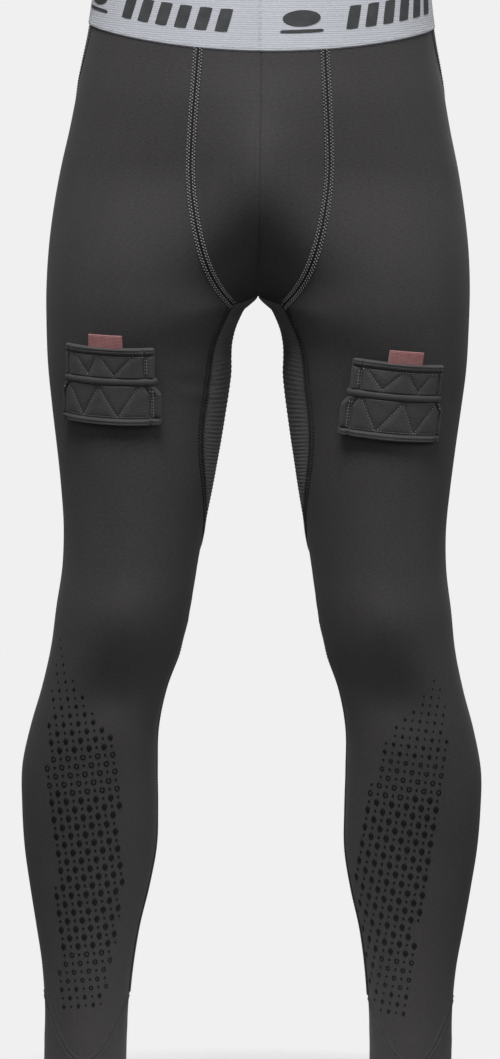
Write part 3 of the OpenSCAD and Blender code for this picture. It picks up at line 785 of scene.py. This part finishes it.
def make_seams(side):
    down_seam(side, "pouch_seam", BAND_TUCK, 1, front_seam, PALE_THREAD, ["pouch_seam"], False)
    down_seam(side, "side_seam", BAND_TUCK, 4, side_seam, TONAL_THREAD, ["side_seam", "shin_side_seam"], True)
    down_seam(side, "inner_front_seam", 1, 4, front_seam, DARK_THREAD_AND_GROOVE_SHADE,
              ["inner_front_seam", "shin_inseam"], True)
    down_seam(side, "inner_back_seam", 1, 4, back_seam, TONAL_THREAD, ["inner_back_seam"], True)
    ends = [float(seam_edge(SEAT_LEVEL, side_seam, 1)), float(seam_edge(SEAT_LEVEL, back_seam, -1))]
    turn = np.linspace(*ends, 60)
    depth = level_depth(SEAT_LEVEL, turn)
    points = cloth_point(side, depth, turn, np.zeros(len(turn)))
    normals = world_normal(side, depth, turn)
    # The binding's dark colour here is partly painted shade for the seam's groove.
    strip = seam_strip(f"{side}_seat_seam", points, normals, FLATLOCK, HALF_SEAM, BINDING_WITH_GROOVE_SHADE)
    stitches = ladder(f"{side}_seat_seam_stitches", points, normals, TONAL_THREAD)
    place_seam([strip, stitches], [f"{side}_seat_seam"], False)


def make_centre_seam():
    """A narrow sunk seam from the waistband down the pouch, and one under the crotch up the seat."""
    level = level_steps(BAND_TUCK, ABOVE_CROTCH, 2.5)[:, None]
    share = np.concatenate([np.linspace(-1, -0.2, 8), np.linspace(-0.15, 0.15, 7), np.linspace(0.2, 1, 8)])
    for part, way in (("front", -1), ("back", 1)):
        turn = way * mix(1.0, centre_edge(level), np.abs(share)[None, :])
        depth = level_depth(level, turn)
        base = surface_at(depth, turn)
        out = normal_at(depth, turn)
        groove = -SEAM_SINK * bump(base[..., 0], 0, 0.55)
        grids = []
        for off in (groove, groove - CLOTH):
            point = base + out * (off + fold_height("left", base))[..., None]
            point[..., 0] = np.maximum(0, point[..., 0]) * np.sign(share)
            grids.append(point * MM)
        seam = shell(f"centre_seam_{part}", *grids, MAIN, flip=way > 0)
        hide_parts("centre_seam")
        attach(seam, "hips")


# ---------------------------------------------------------------- ankle cuffs
CUFF_LEVEL = 4.02
HEM_FOLD = 0.7    # how far the folded hem stands out
HEM_ROWS = [(-1.5, 0.15, 0.5), (1.5, 0.15, 0.5)]


def leg_ring(side, level, off, count=96):
    """Points round one leg at a level, with their outward directions."""
    turn = -1 + 2 * np.arange(count) / count
    depth = level_depth(level, turn)
    return cloth_point(side, depth, turn, np.full(count, off)), world_normal(side, depth, turn)


def closed_path(points, normals):
    return np.concatenate([points, points[:1]]), np.concatenate([normals, normals[:1]])


def make_cuff(side):
    levels = np.concatenate([level_steps(CUFF_LEVEL, HEM_LEVEL, 4), [4.76, 4.78, 4.85, 4.92, 4.98, 5.0]])
    fold = np.interp(levels, [CUFF_LEVEL, HEM_LEVEL, 4.765, 4.97, 5.0], [0, 0, HEM_FOLD, HEM_FOLD, 0.2])
    outer = np.stack([leg_ring(side, l, f)[0] for l, f in zip(levels, fold)])
    inner = np.stack([leg_ring(side, l, -CLOTH - f)[0] for l, f in zip(levels, fold)])
    cuff = shell(f"{side}_ankle_cuff_cloth", outer, inner, MAIN, closed=True, flip=SIDES[side] < 0)
    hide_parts(f"{side}_ankle_cuff")
    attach(cuff, f"{side}_shin")
    points, normals = leg_ring(side, CUFF_LEVEL, 0.0, 160)
    strip = seam_strip(f"{side}_cuff_seam_strip", points, normals, LOW_SEAM, HALF_SEAM, MAIN, closed=True)
    points, normals = closed_path(points, normals)
    stitches = running(f"{side}_cuff_seam_stitches", points, normals, LOW_ROWS, DARK_THREAD_AND_GROOVE_SHADE)
    points, normals = closed_path(*leg_ring(side, 4.79, HEM_FOLD, 160))
    hem = running(f"{side}_hem_stitches", points, normals, HEM_ROWS, TONAL_THREAD)
    for obj in (strip, stitches, hem):
        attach(obj, f"{side}_shin")
    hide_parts(f"{side}_cuff_seam")


# ---------------------------------------------------------------- waistband
BAND_PROUD = 1.2
BAND_DEPTH = 43.5
FRONT_SAG = 12


def band_place(share, turn):
    """Depth, turn and side of a place on the band; turns run on from -1 to 3 all round the waist."""
    right = turn > 1
    u = np.where(right, 2 - turn, turn)
    return share * (BAND_DEPTH + FRONT_SAG * behind(-u / 2)), u, np.where(right, -1, 1)


def band_normal(share, turn):
    depth, u, way = band_place(share, turn)
    normal = normal_at(depth, u)
    normal[..., 0] *= way
    return normal


def band_point(share, turn, off):
    depth, u, way = band_place(share, turn)
    point = surface_at(depth, u)
    point[..., 0] *= way
    return (point + band_normal(share, turn) * np.asarray(off)[..., None]) * MM


def make_waistband():
    rows, count = 64, 300
    share, turn = np.meshgrid(np.linspace(0, 1, rows), -1 + 4 * np.arange(count) / count, indexing="ij")
    edge = np.minimum(share, 1 - share) * BAND_DEPTH
    roll = np.sqrt(np.clip(1 - (1 - np.clip(edge / 1.2, 0, 1)) ** 2, 0, 1))
    cords = 0.03 * np.sin(share * BAND_DEPTH * 2 * np.pi / 3.2) * np.clip(edge / 4, 0, 1)
    outer = band_point(share, turn, BAND_PROUD * roll + cords)
    inner = band_point(share, turn, -CLOTH - 0.6 * roll - 0.3)
    band = shell("waistband_elastic", outer, inner, ELASTIC, closed=True)
    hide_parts("waistband")
    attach(band, "hips")
    turn = np.linspace(-1, 3, 500)
    low = np.full(500, 0.95)
    points = band_point(low, turn, np.full(500, BAND_PROUD))
    normals = band_normal(low, turn)
    one_row = [(0.0, 0.05, 0.5)]
    hem = running("waistband_stitches", points, normals, one_row, BAND_THREAD, 2.1, (1.5, 0.8, 0.5))
    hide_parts("waist_seam")
    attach(hem, "hips")


def mark_grid(width, height, slant, rounding):
    """A small printed patch: a slanted bar, or an oval when rounding is 1. Down is positive."""
    s = np.linspace(-1, 1, 13)
    a, b = np.meshgrid(s, s)
    disc = np.maximum(np.abs(a), np.abs(b)) / np.maximum(np.hypot(a, b), 1e-9)
    scale = mix(1.0, disc, rounding)
    x, y = a * scale * width / 2, b * scale * height / 2
    return x - slant * y, y


# The band's printed pattern, four times round: a group of slanted bars, then a puck on a line.
BARS = 6
BAR_PITCH = 15.4
MARK_HEIGHT = 22   # height of the marks' middle above the band's lower edge
GROUP_MIDDLE = -66
PUCK_MIDDLE = 29


def make_band_marks():
    fine = np.linspace(-1, 3, 2001)
    line = band_point(np.full(2001, 0.45), fine, np.full(2001, BAND_PROUD)) / MM
    length = np.concatenate([[0], np.cumsum(np.linalg.norm(np.diff(line, axis=0), axis=-1))])
    group = [((k - (BARS - 1) / 2) * BAR_PITCH + GROUP_MIDDLE, 0, mark_grid(9.4, 17, 0.24, 0.12))
             for k in range(BARS)]
    puck = [(PUCK_MIDDLE, -2, mark_grid(28, 12, 0, 1.0)), (PUCK_MIDDLE, 7.5, mark_grid(32, 2.4, 0, 0.3))]
    points, faces, count = [], [], 0
    for repeat in range(4):
        for middle, drop, (x, y) in group + puck:
            around = (middle + x + repeat * length[-1] / 4) % length[-1]
            turn = np.interp(around, length, fine)
            below = band_place(1.0, turn)[0]
            share = 1 - (MARK_HEIGHT - drop - y) / below
            for off in (BAND_PROUD + 0.4, BAND_PROUD + 0.02):
                points.append(band_point(share, turn, np.full(turn.shape, off)).reshape(-1, 3))
            faces.append(shell_faces(*x.shape, count))
            count += 2 * x.size
    points = np.concatenate(points)
    obj = new_object("waistband_marks", points, np.concatenate(faces), points[:, [0, 2]], MARK)
    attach(obj, "hips")


def make_label():
    low, high = [np.array(p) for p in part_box("care_label")]
    rows, cols = 20, 14
    z = np.linspace(high[2], low[2], rows)[:, None]
    x = np.linspace(low[0], high[0], cols)[None, :]
    middle = (low[1] + high[1]) / 2
    wave = 0.0006 * np.sin((z - low[2]) * 160) * np.clip((high[2] - z) / 0.02, 0, 1)
    outer = np.stack([x + 0 * z, middle + wave - 0.00025 + 0 * x, z + 0 * x], axis=-1)
    inner = outer + (0, 0.0005, 0)
    label = shell("care_label_tape", outer, inner, LABEL)
    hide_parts("care_label")
    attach(label, "hips")


# ---------------------------------------------------------------- cup pocket
LINER_GAP = 3
LINER_BOW = 10
LINER_CLOTH = 1


def liner_point(level, share, off):
    turn = front_seam(level)
    depth = level_depth(level, turn)
    edge = surface_at(depth, turn) - normal_at(depth, turn) * (CLOTH + LINER_GAP)
    y = edge[..., 1] + LINER_BOW * (1 - share ** 2) - off
    return np.stack([edge[..., 0] * share, y, edge[..., 2] + 0 * share], axis=-1) * MM


def make_liner():
    share = np.linspace(-0.96, 0.96, 40)[None, :]
    level = np.linspace(0.24, 0.63, 40)[:, None]
    outer, inner = liner_point(level, share, 0.0), liner_point(level, share, -LINER_CLOTH)
    liner = shell("cup_liner_mesh", outer, inner, LINER)
    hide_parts("cup_liner")
    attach(liner, "hips")
    level = np.linspace(0.2, 0.235, 8)[:, None]
    plump = 0.8 * np.sqrt(1 - np.linspace(-1, 1, 8)[:, None] ** 2 * 0.95)
    binding = shell("liner_binding_tape", liner_point(level, share, plump),
                    liner_point(level, share, -LINER_CLOTH - plump), BINDING_WITH_GROOVE_SHADE)
    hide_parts("liner_binding")
    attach(binding, "hips")


# ---------------------------------------------------------------- printed grip on the shin
# Outline of each print: depths, and how far its outer and inner edges are from the garment's middle.
GRIP_EDGES = {
    "left": ([526, 545, 560, 580, 605, 640, 680, 720, 750, 782],
             [136, 143, 145, 145, 144, 139, 131, 124, 121, 118],
             [134, 124, 111, 96, 90, 84, 79, 82, 88, 95]),
    "right": ([499, 530, 552, 575, 605, 640, 680, 720, 750, 780],
              [143, 148, 151, 152, 153, 149, 146, 144, 142, 141],
              [141, 135, 122, 105, 99, 97, 94, 97, 103, 109])}
ROW_PITCH = 6.4
COLUMN_PITCH = 5.5
FILM_RISE = 0.35
RING_BANDS = [(588, 619), (738, 765)]
ROW_TILT = 0.1
COLUMN_LEAN = 0.14
PRINT_MIDDLE = 640


def grip_turn(depth, x):
    """The turn on the front of a leg where the cloth is at this distance from the middle."""
    outer, inner = station(depth, 0), station(depth, 1)
    half = (outer - inner) / 2
    return -np.arccos(np.clip((x - outer + half) / half, -1, 1)) / np.pi


def grip_places(side, small):
    """Depth and distance of the large diamonds, or of the small dots that alternate with them."""
    depths, outer, inner = GRIP_EDGES[side]
    rows = np.arange(depths[0] - 20, depths[-1] + 20, ROW_PITCH)
    columns = np.arange(20, 200, COLUMN_PITCH)
    row, column = np.meshgrid(np.arange(len(rows)), np.arange(len(columns)), indexing="ij")
    depth = rows[row]
    x = columns[column] - COLUMN_LEAN * (depth - PRINT_MIDDLE)
    depth = depth + ROW_TILT * (x - np.interp(depth, depths, outer))
    inside = (depth > depths[0]) & (depth < depths[-1])
    inside &= (x > np.interp(depth, depths, inner)) & (x < np.interp(depth, depths, outer))
    pick = inside & ((row + column) % 2 == small)
    return depth[pick], x[pick]


def make_grip(side):
    made = []
    depths = GRIP_EDGES[side][0]
    for small in (0, 1):
        depth, x = grip_places(side, small)
        stops = [depths[0], depths[0] + 40, depths[0] + 90, 735, 782]
        grow = np.interp(depth, stops, [0.25, 0.5, 1.0, 0.95, 0.6])
        in_band = np.any([(depth > a) & (depth < b) for a, b in RING_BANDS], axis=0) & (small == 0)
        for ring in (False, True):
            pick = in_band == ring
            if not pick.any():
                continue
            turn = grip_turn(depth[pick], x[pick])
            origins = cloth_point(side, depth[pick], turn, np.full(pick.sum(), 0.02))
            out = world_normal(side, depth[pick], turn)
            up = unit((0.0, 0.0, 1.0) - out * out[:, 2:])
            high, wide = (2.2, 1.9) if small else (5.0, 4.4) if ring else (6.3, 4.5)
            scale = np.sqrt(grow[pick]) if small else grow[pick]
            size = np.stack([high * scale, wide * scale, np.full(pick.sum(), FILM_RISE)], -1)
            template = print_template(1.0, 0.5) if ring else print_template(1.0 if small else 1.3)
            kind = "rings" if ring else "dots" if small else "diamonds"
            made.append(scatter(f"{side}_grip_{kind}", template, origins, up, out, size, GRIP))
    for obj in made:
        follow_leg(obj)
    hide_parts(f"{side}_grip_print")


# ---------------------------------------------------------------- sock tabs
# Depth, turn and roll of each tab; they are sewn on a little differently.
TABS = {"right": (313, -0.4, -3.5), "left": (322, -0.433, 3.5)}
TAB_WIDTH = 69
TAB_RADIUS = 75
FLAP_FLOOR = 4.8
FLAP_THICK = 2.5
WELT_HALF = 2.4
ROOT = 2.9
FREE_EDGE = {"upper": 25.4, "lower": 32.9}
FLARE = 4
FLARE_DROP = 7
# Zigzag quilting of each row: across the row from the wearer's inner end, ends up (1) or down (0).
ZIGZAG = {
    ("left", "upper"): [(0.04, 1), (0.27, 0), (0.54, 1), (0.73, 0), (0.92, 1)],
    ("left", "lower"): [(0.1, 1), (0.28, 0), (0.55, 1), (0.71, 0), (0.94, 1)],
    ("right", "upper"): [(0.12, 1), (0.37, 0), (0.58, 1), (0.71, 0), (0.92, 1)],
    ("right", "lower"): [(0.13, 1), (0.35, 0), (0.57, 1), (0.76, 0), (0.94, 1)]}
CHANNEL_IN = 6.5    # stitched border at a flap's end towards the other leg
CHANNEL_OUT = 3.4   # and at its outer end
HEM_BAND = 5.6      # rolled hem at a flap's free edge
QUILT_PUFF = 1.0
CREASE = 0.42       # place of the hem's crease in its band
FLAP_CORNER = 2.2


def flap_way(kind):
    """A flap rises from the welt or hangs below it."""
    return 1 if kind == "upper" else -1


def flap_reach(kind):
    """Half the flap's width at its free edge."""
    return TAB_WIDTH / 2 + (0 if kind == "upper" else FLARE)


def faces_turn(side, kind):
    return (SIDES[side] < 0) != (kind == "lower")


def tab_basis(side):
    depth, turn, roll = TABS[side]
    spot, out = surface_at(depth, turn), normal_at(depth, turn)
    tilt, yaw, spin = math.asin(-out[2]), math.atan2(out[0], -out[1]), math.radians(roll)
    rx = np.array([[1, 0, 0], [0, math.cos(tilt), -math.sin(tilt)], [0, math.sin(tilt), math.cos(tilt)]])
    rz = np.array([[math.cos(yaw), -math.sin(yaw), 0], [math.sin(yaw), math.cos(yaw), 0], [0, 0, 1]])
    ry = np.array([[math.cos(spin), 0, math.sin(spin)], [0, 1, 0], [-math.sin(spin), 0, math.cos(spin)]])
    return spot, rz @ rx @ ry


def tab_point(side, x, off, z):
    """A point on the tab: x towards the wearer's outer side, off above the thigh, z up."""
    spot, turned = tab_basis(side)
    x, off, z = np.broadcast_arrays(*[np.asarray(v, float) for v in (x, off, z)])
    radius = TAB_RADIUS + off - FLAP_FLOOR
    y = TAB_RADIUS - FLAP_FLOOR - np.sqrt(radius ** 2 - x ** 2)
    local = np.stack([x, y, z], axis=-1)
    return (local @ turned.T + spot) * (SIDES[side] * MM, MM, MM)


def flap_half_width(kind, z):
    if kind == "upper":
        return np.full(np.shape(z), TAB_WIDTH / 2)
    return TAB_WIDTH / 2 + FLARE * np.clip((np.abs(z) - ROOT) / FLARE_DROP, 0, 1)


def segment_distance(x, z, a, b):
    d = np.subtract(b, a)
    t = np.clip(((x - a[0]) * d[0] + (z - a[1]) * d[1]) / (d @ d), 0, 1)
    return np.hypot(x - a[0] - t * d[0], z - a[1] - t * d[1])


def quilt_lines(side, kind):
    """The zigzag's corners, in the flap's own millimetres."""
    way, half = flap_way(kind), flap_reach(kind)
    hem, root = way * (FREE_EDGE[kind] - HEM_BAND), way * (ROOT + 1.2)
    high, low = max(hem, root), min(hem, root)
    left, right = CHANNEL_IN - half, half - CHANNEL_OUT
    return [(mix(left, right, share), high if up else low) for share, up in ZIGZAG[(side, kind)]]


def flap_thickness(side, kind, x, z):
    """Height of the flap's face over its back: quilting, stitched borders and rolled edges."""
    half = flap_half_width(kind, z)
    from_side = half - np.abs(x)
    from_free = FREE_EDGE[kind] - np.abs(z)
    from_root = np.abs(z) - ROOT
    channel = np.where(x < 0, CHANNEL_IN, CHANNEL_OUT)
    corners = quilt_lines(side, kind)
    line = np.minimum.reduce([segment_distance(x, z, a, b) for a, b in zip(corners[:-1], corners[1:])])
    frame_line = np.minimum(np.abs(from_side - channel), np.abs(from_free - HEM_BAND))
    zigzag = np.where((from_side > channel) & (from_free > HEM_BAND), line, 99)
    puff = QUILT_PUFF * (1 - np.exp(-np.minimum(zigzag, frame_line) / 1.8))
    hem = 1.0 * np.sqrt(np.clip(1 - ((from_free - HEM_BAND / 2) / (HEM_BAND / 2)) ** 2, 0, 1))
    bead = 0.6 * np.sqrt(np.clip(1 - ((from_side - 1.6) / 1.6) ** 2, 0, 1))
    crease = 0.5 * np.exp(-(((from_free - HEM_BAND * CREASE) / 0.5) ** 2))
    edge = np.minimum(np.minimum(from_side, from_free), from_root + 0.6)
    roll = np.sqrt(np.clip(1 - (1 - np.clip(edge / 1.4, 0, 1)) ** 2, 0, 1))
    pinch = 0.2 * np.exp(-zigzag / 0.5) + 0.7 * np.exp(-((frame_line / 0.6) ** 2))
    ripple = 0.12 * np.sin(x / 3.1 + z / 5) * np.sin(z / 4.3 - x / 7)
    return (FLAP_THICK - 0.7 + puff + np.maximum(hem, bead) - pinch - crease + ripple) * (0.3 + 0.7 * roll)


def round_corner(x, z, half, free):
    radius = FLAP_CORNER
    dx, dz = np.abs(x) - half + radius, np.abs(z) - free + radius
    inside = (dx > 0) & (dz > 0)
    scale = np.where(inside, np.maximum(dx, dz) / np.maximum(np.hypot(dx, dz), 1e-9), 1)
    new_x = np.where(inside, np.sign(x) * (half - radius + dx * scale), x)
    new_z = np.where(inside, np.sign(z) * (free - radius + dz * scale), z)
    return new_x, new_z


def sag(side, kind, x, z):
    """A soft wave in the flap's free edge, so that it does not look cut from board."""
    phase = 0.6 if side == "left" else 2.1
    reach = (np.abs(z) - ROOT) / (FREE_EDGE[kind] - ROOT)
    return reach * (0.5 * np.sin(x / 15 + phase) + 0.25 * np.sin(x / 6 + 2 * phase))


def make_flap(side, kind):
    cols, rows = 116, 52
    way = flap_way(kind)
    z = way * np.linspace(FREE_EDGE[kind], ROOT, rows)[:, None] + np.zeros((1, cols))
    half = flap_half_width(kind, z)
    x = half * np.linspace(-1, 1, cols)[None, :]
    x, z = round_corner(x, z, half, FREE_EDGE[kind])
    wave = sag(side, kind, x, z)
    thick = flap_thickness(side, kind, x, z)
    outer = tab_point(side, x, FLAP_FLOOR + thick + wave, z)
    inner = tab_point(side, x, FLAP_FLOOR + wave * 0.9, z)
    flap = shell(f"{side}_{kind}_flap_pad", outer, inner, TAB, flip=faces_turn(side, kind))
    body = f"{side}_{kind}_flap"
    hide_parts(body)
    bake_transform(flap)
    make_flap_stitches(side, kind)


def tab_line(side, kind, a, b, pitch, size, lift):
    """Stitches along a straight line on a flap's face."""
    a, b = np.array(a, float), np.array(b, float)
    length = np.linalg.norm(b - a)
    share = (np.arange(max(1, int(length / pitch))) + 0.5) * pitch / length
    spots = a + (b - a) * share[:, None]
    step = (b - a) / length * 0.2
    x, z = spots[:, 0], spots[:, 1]
    off = FLAP_FLOOR + flap_thickness(side, kind, x, z) + sag(side, kind, x, z) + lift
    place = tab_point(side, x, off, z)
    return place, tab_point(side, x + step[0], off, z + step[1]) - place, \
        tab_point(side, x, off + 0.5, z) - place, np.tile(size, (len(spots), 1))


def make_flap_stitches(side, kind):
    """Pale stitches on the quilting and borders; dark ones packed into unbroken lines in the hem and border
    grooves as painted shade.
    """
    way, half = flap_way(kind), flap_reach(kind)
    left, right = CHANNEL_IN - half, half - CHANNEL_OUT
    corners = quilt_lines(side, kind)
    hem, fold = [way * (FREE_EDGE[kind] - HEM_BAND * place) for place in (1, CREASE)]
    low, high = way * (ROOT + 3), hem - way * 0.5
    dot = (1.1, 0.85, 0.8)
    pale = [tab_line(side, kind, a, b, 2.3, dot, 0.2) for a, b in zip(corners[:-1], corners[1:])]
    pale += [tab_line(side, kind, (x, low), (x, high), 2.3, dot, 0.2) for x in (left, left - 1.8, right)]
    pale.append(tab_line(side, kind, (left, hem - way), (right, hem - way), 2.2, (1.1, 0.6, 0.6), 0.1))
    # Dark rows: stitches so close that they join into solid lines in the hem and border grooves, painted
    # shade.
    dark = [tab_line(side, kind, (1 - half, z), (half - 1, z), 1.7, (2.2, 0.9, 0.6), 0.0)
            for z in (hem, fold)]
    dark += [tab_line(side, kind, (x, low), (x, high), 1.7, (2.2, 0.5, 0.5), 0.0)
             for x in (left + 0.9, right + 0.9)]
    for tone, rows, material in (("pale", pale, FLAP_THREAD), ("dark", dark, DARK_THREAD_AND_GROOVE_SHADE)):
        place, along, out, size = [np.concatenate(part) for part in zip(*rows)]
        stitches = scatter(f"{side}_{kind}_flap_{tone}_stitches", BAR, place, along, out, size, material)
        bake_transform(stitches)


def make_welt(side):
    """The padded welt that holds both flaps to the thigh, with folded ends."""
    cols, around = 90, 20
    half = TAB_WIDTH / 2 + 1.5
    x = np.linspace(-1, 1, cols)[:, None] * half
    angle = np.linspace(0, 2 * np.pi, around, endpoint=False)[None, :]
    middle = (2.2 + FLAP_FLOOR + FLAP_THICK) / 2 + 0.4
    taper = np.clip((half - np.abs(x)) / 1.5, 0.05, 1) ** 0.5
    high = (WELT_HALF + 0.35) * np.sign(np.sin(angle)) * np.abs(np.sin(angle)) ** 0.7 * taper
    deep = 3.1 * np.sign(np.cos(angle)) * np.abs(np.cos(angle)) ** 0.8 * taper
    wave = 0.3 * np.sin(x / 9) * (np.cos(angle) > 0)
    points = tab_point(side, x + 0 * angle, middle + deep + wave, high)
    total = cols * around
    faces = grid_faces(cols, around, 0, closed=True, flip=SIDES[side] < 0)
    step = 1 if SIDES[side] > 0 else -1
    caps = [np.arange(around)[::step], np.arange(total - around, total)[::-step]]
    mesh_faces = faces.tolist() + [cap.tolist() for cap in caps]
    uv = np.stack([x + 0 * angle, 4 * angle + 0 * x], axis=-1).reshape(-1, 2) * MM
    welt = new_object(f"{side}_tab_welt_roll", points.reshape(-1, 3), mesh_faces, uv, TAB, NEVER_SHARP)
    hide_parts(f"{side}_tab_welt")
    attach(welt, "hips")


PULL_WIDTH = 26
PULL_HEIGHT = 8.8
PULL_SHIFTS = {"right": 0.7, "left": 3}   # towards the outer side


def make_pull_tab(side):
    """A folded loop of woven tape that stands up behind the upper flap's free edge."""
    cols, rows = 40, 30
    shift = PULL_SHIFTS[side]
    across = np.linspace(-1, 1, cols)[None, :] * PULL_WIDTH / 2 + shift
    walk = np.linspace(0, 1, rows)[:, None]
    free = FREE_EDGE["upper"]
    bottom, top, gap, fold = free - 3.0, free + 0.5 + PULL_HEIGHT, 0.35, 0.6
    straight = top - bottom - fold
    length = 2 * straight + fold * np.pi
    s = walk * length
    turned = np.clip((s - straight) / fold, 0, np.pi)
    z = bottom + np.minimum(s, straight) + fold * np.sin(turned) - np.maximum(0, s - straight - fold * np.pi)
    face = fold * np.cos(turned)
    wave = 0.25 * np.sin(across / 5 + z / 9)
    middle = FLAP_FLOOR + 1.5
    outer = tab_point(side, across, middle + (face + gap * np.cos(turned)) + wave, z + 0 * across)
    inner = tab_point(side, across, middle + (face * 0.25 + gap * 0.25 * np.cos(turned)) + wave,
                      z - 0.3 * np.sin(turned) + 0 * across)
    tape = shell(f"{side}_pull_tab_tape", outer, inner, RED, flip=SIDES[side] > 0)
    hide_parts(f"{side}_pull_tab")
    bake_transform(tape)


HOOK_INSET = 5


def make_hooks(side, kind):
    """A strip of hook tape on the flap's back, with its rows of small hooks."""
    way = flap_way(kind)
    z = way * np.linspace(FREE_EDGE[kind] - HOOK_INSET, ROOT + HOOK_INSET, 20)[:, None]
    x = np.linspace(-1, 1, 40)[None, :] * 0.38 * TAB_WIDTH
    wave = sag(side, kind, x + 0 * z, z + 0 * x) * 0.9
    outer = tab_point(side, x, FLAP_FLOOR + wave - 0.05, z)
    inner = tab_point(side, x, FLAP_FLOOR + wave - 0.5, z)
    strip = shell(f"{side}_{kind}_hook_tape", outer, inner, HOOK, flip=faces_turn(side, kind))
    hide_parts(f"{side}_{kind}_hooks")
    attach(strip, f"{side}_{kind}_flap")
    columns, rows = np.arange(-25, 25.1, 1.9), way * np.arange(ROOT + 6, FREE_EDGE[kind] - 5.5, 1.7)
    hook_x, hook_z = [grid.ravel() for grid in np.meshgrid(columns, rows)]
    off = FLAP_FLOOR - 0.75 + sag(side, kind, hook_x, hook_z) * 0.9
    place = tab_point(side, hook_x, off, hook_z)
    out = tab_point(side, hook_x, off - 0.5, hook_z) - place
    along = tab_point(side, hook_x + 0.2, off, hook_z) - place
    hooks = scatter(f"{side}_{kind}_hook_points", BAR, place, out, along, (0.9, 0.45, 0.45), HOOK)
    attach(hooks, f"{side}_{kind}_flap")


def make_loop_patch(side):
    """The loop patch sewn to the thigh under both flaps."""
    depth0, turn0, _ = TABS[side]
    above, below = [0.9 * (FREE_EDGE[kind] - ROOT) for kind in ("upper", "lower")]
    depth = np.linspace(depth0 - above, depth0 + below, 40)[:, None]
    level = 1 + (depth - FORK_LINE) / (KNEE_DEPTH - KNEE_HALF - FORK_LINE)
    reach = 0.42 * TAB_WIDTH * turn_per_mm(level, turn0)
    turn = turn0 + reach * np.linspace(-1, 1, 48)[None, :]
    edge = np.minimum(np.linspace(0, 1, 40)[:, None], np.linspace(1, 0, 40)[:, None]) * 50
    fuzz = 0.14 * np.sin(turn * 900) * np.sin(depth * 3.1) * np.clip(edge / 2, 0, 1)
    rise = 1.0 * np.clip(edge / 1.2, 0.3, 1) + fuzz
    outer = cloth_point(side, depth + 0 * turn, turn, rise)
    inner = cloth_point(side, depth + 0 * turn, turn, 0 * turn + 0.05)
    patch = shell(f"{side}_loop_patch_pile", outer, inner, LOOP, flip=SIDES[side] < 0)
    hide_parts(f"{side}_loop_patch")
    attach(patch, "hips")


# ---------------------------------------------------------------- studio
BACKDROP = 0.871   # brightness of the backdrop that the camera sees
GLOW = 0.12        # brightness of the light that it gives
FLOOR_Z = cad_box[0][2] - 0.001


def area_light(name, place, target, size, power):
    data = bpy.data.lights.new(name, "AREA")
    data.shape = "RECTANGLE"
    data.size, data.size_y = size
    data.energy = power
    light = bpy.data.objects.new(name, data)
    light.location = place
    direction = np.subtract(target, place)
    yaw = math.atan2(direction[0], -direction[1])
    pitch = math.atan2(math.hypot(direction[0], direction[1]), -direction[2])
    light.rotation_euler = (pitch, 0, yaw + math.pi)
    bpy.context.collection.objects.link(light)


def make_world():
    world = bpy.data.worlds.new("studio")
    bpy.context.scene.world = world
    world.use_nodes = True
    nodes, links = world.node_tree.nodes, world.node_tree.links
    nodes.clear()
    output = nodes.new("ShaderNodeOutputWorld")
    seen, glow = nodes.new("ShaderNodeBackground"), nodes.new("ShaderNodeBackground")
    seen.inputs["Color"].default_value = grey(BACKDROP)
    glow.inputs["Color"].default_value = grey(GLOW)
    path, joined = nodes.new("ShaderNodeLightPath"), nodes.new("ShaderNodeMixShader")
    links.new(path.outputs["Is Camera Ray"], joined.inputs["Fac"])
    links.new(glow.outputs[0], joined.inputs[1])
    links.new(seen.outputs[0], joined.inputs[2])
    links.new(joined.outputs[0], output.inputs["Surface"])


def make_floor():
    """A pale round floor under the hems that fades out, so that no horizon shows."""
    count, radii = 96, [0.001, 0.3, 0.5, 0.7, 0.9]
    angle = np.arange(count) * 2 * np.pi / count
    points = np.concatenate([np.column_stack([r * np.cos(angle), r * np.sin(angle), np.full(count, FLOOR_Z)])
                             for r in radii])
    material, nodes, links, shader = nodes_of("floor_paper")
    place = nodes.new("ShaderNodeTexCoord")
    distance = nodes.new("ShaderNodeVectorMath")
    distance.operation = "LENGTH"
    flat = nodes.new("ShaderNodeMapping")
    flat.inputs["Scale"].default_value = (1, 1, 0)
    links.new(place.outputs["Object"], flat.inputs["Vector"])
    links.new(flat.outputs["Vector"], distance.inputs[0])
    fade = ramp(nodes, links, distance.outputs["Value"], [(0.14, grey(1)), (0.34, grey(0))])
    grain = nodes.new("ShaderNodeTexNoise")
    grain.inputs["Scale"].default_value = 60
    links.new(place.outputs["Object"], grain.inputs["Vector"])
    links.new(ramp(nodes, links, grain.outputs["Fac"], [(0.3, grey(0.86)), (0.7, grey(0.9))]),
              shader.inputs["Base Color"])
    links.new(fade, shader.inputs["Alpha"])
    shader.inputs["Roughness"].default_value = 0.9
    floor = new_object("floor", points, grid_faces(len(radii), count, closed=True), None, material)


def make_lights():
    area_light("key_softbox", (-0.25, -1.5, 2.1), (0, 0, 0.1), (1.4, 0.9), 84)
    area_light("front_fill", (0.5, -2.8, 0.5), (0, 0, -0.1), (1.6, 1.2), 8)
    area_light("left_side", (-2.2, -0.7, 0.5), (0, 0, -0.3), (1.0, 1.4), 7)
    area_light("right_side", (2.2, -0.9, 0.6), (0, 0, -0.3), (1.0, 1.2), 15)
    area_light("back_light", (0.6, 2.6, 1.4), (0, 0, -0.4), (2.4, 1.6), 44)


def main():
    for side in SIDES:
        make_panels(side)
        make_seams(side)
        make_cuff(side)
        make_grip(side)
        make_loop_patch(side)
        make_welt(side)
        for kind in ("upper", "lower"):
            make_flap(side, kind)
            make_hooks(side, kind)
        make_pull_tab(side)
    make_centre_seam()
    make_waistband()
    make_band_marks()
    make_label()
    make_liner()
    make_world()
    make_floor()
    make_lights()
    bpy.context.scene.view_settings.view_transform = "Standard"


main()
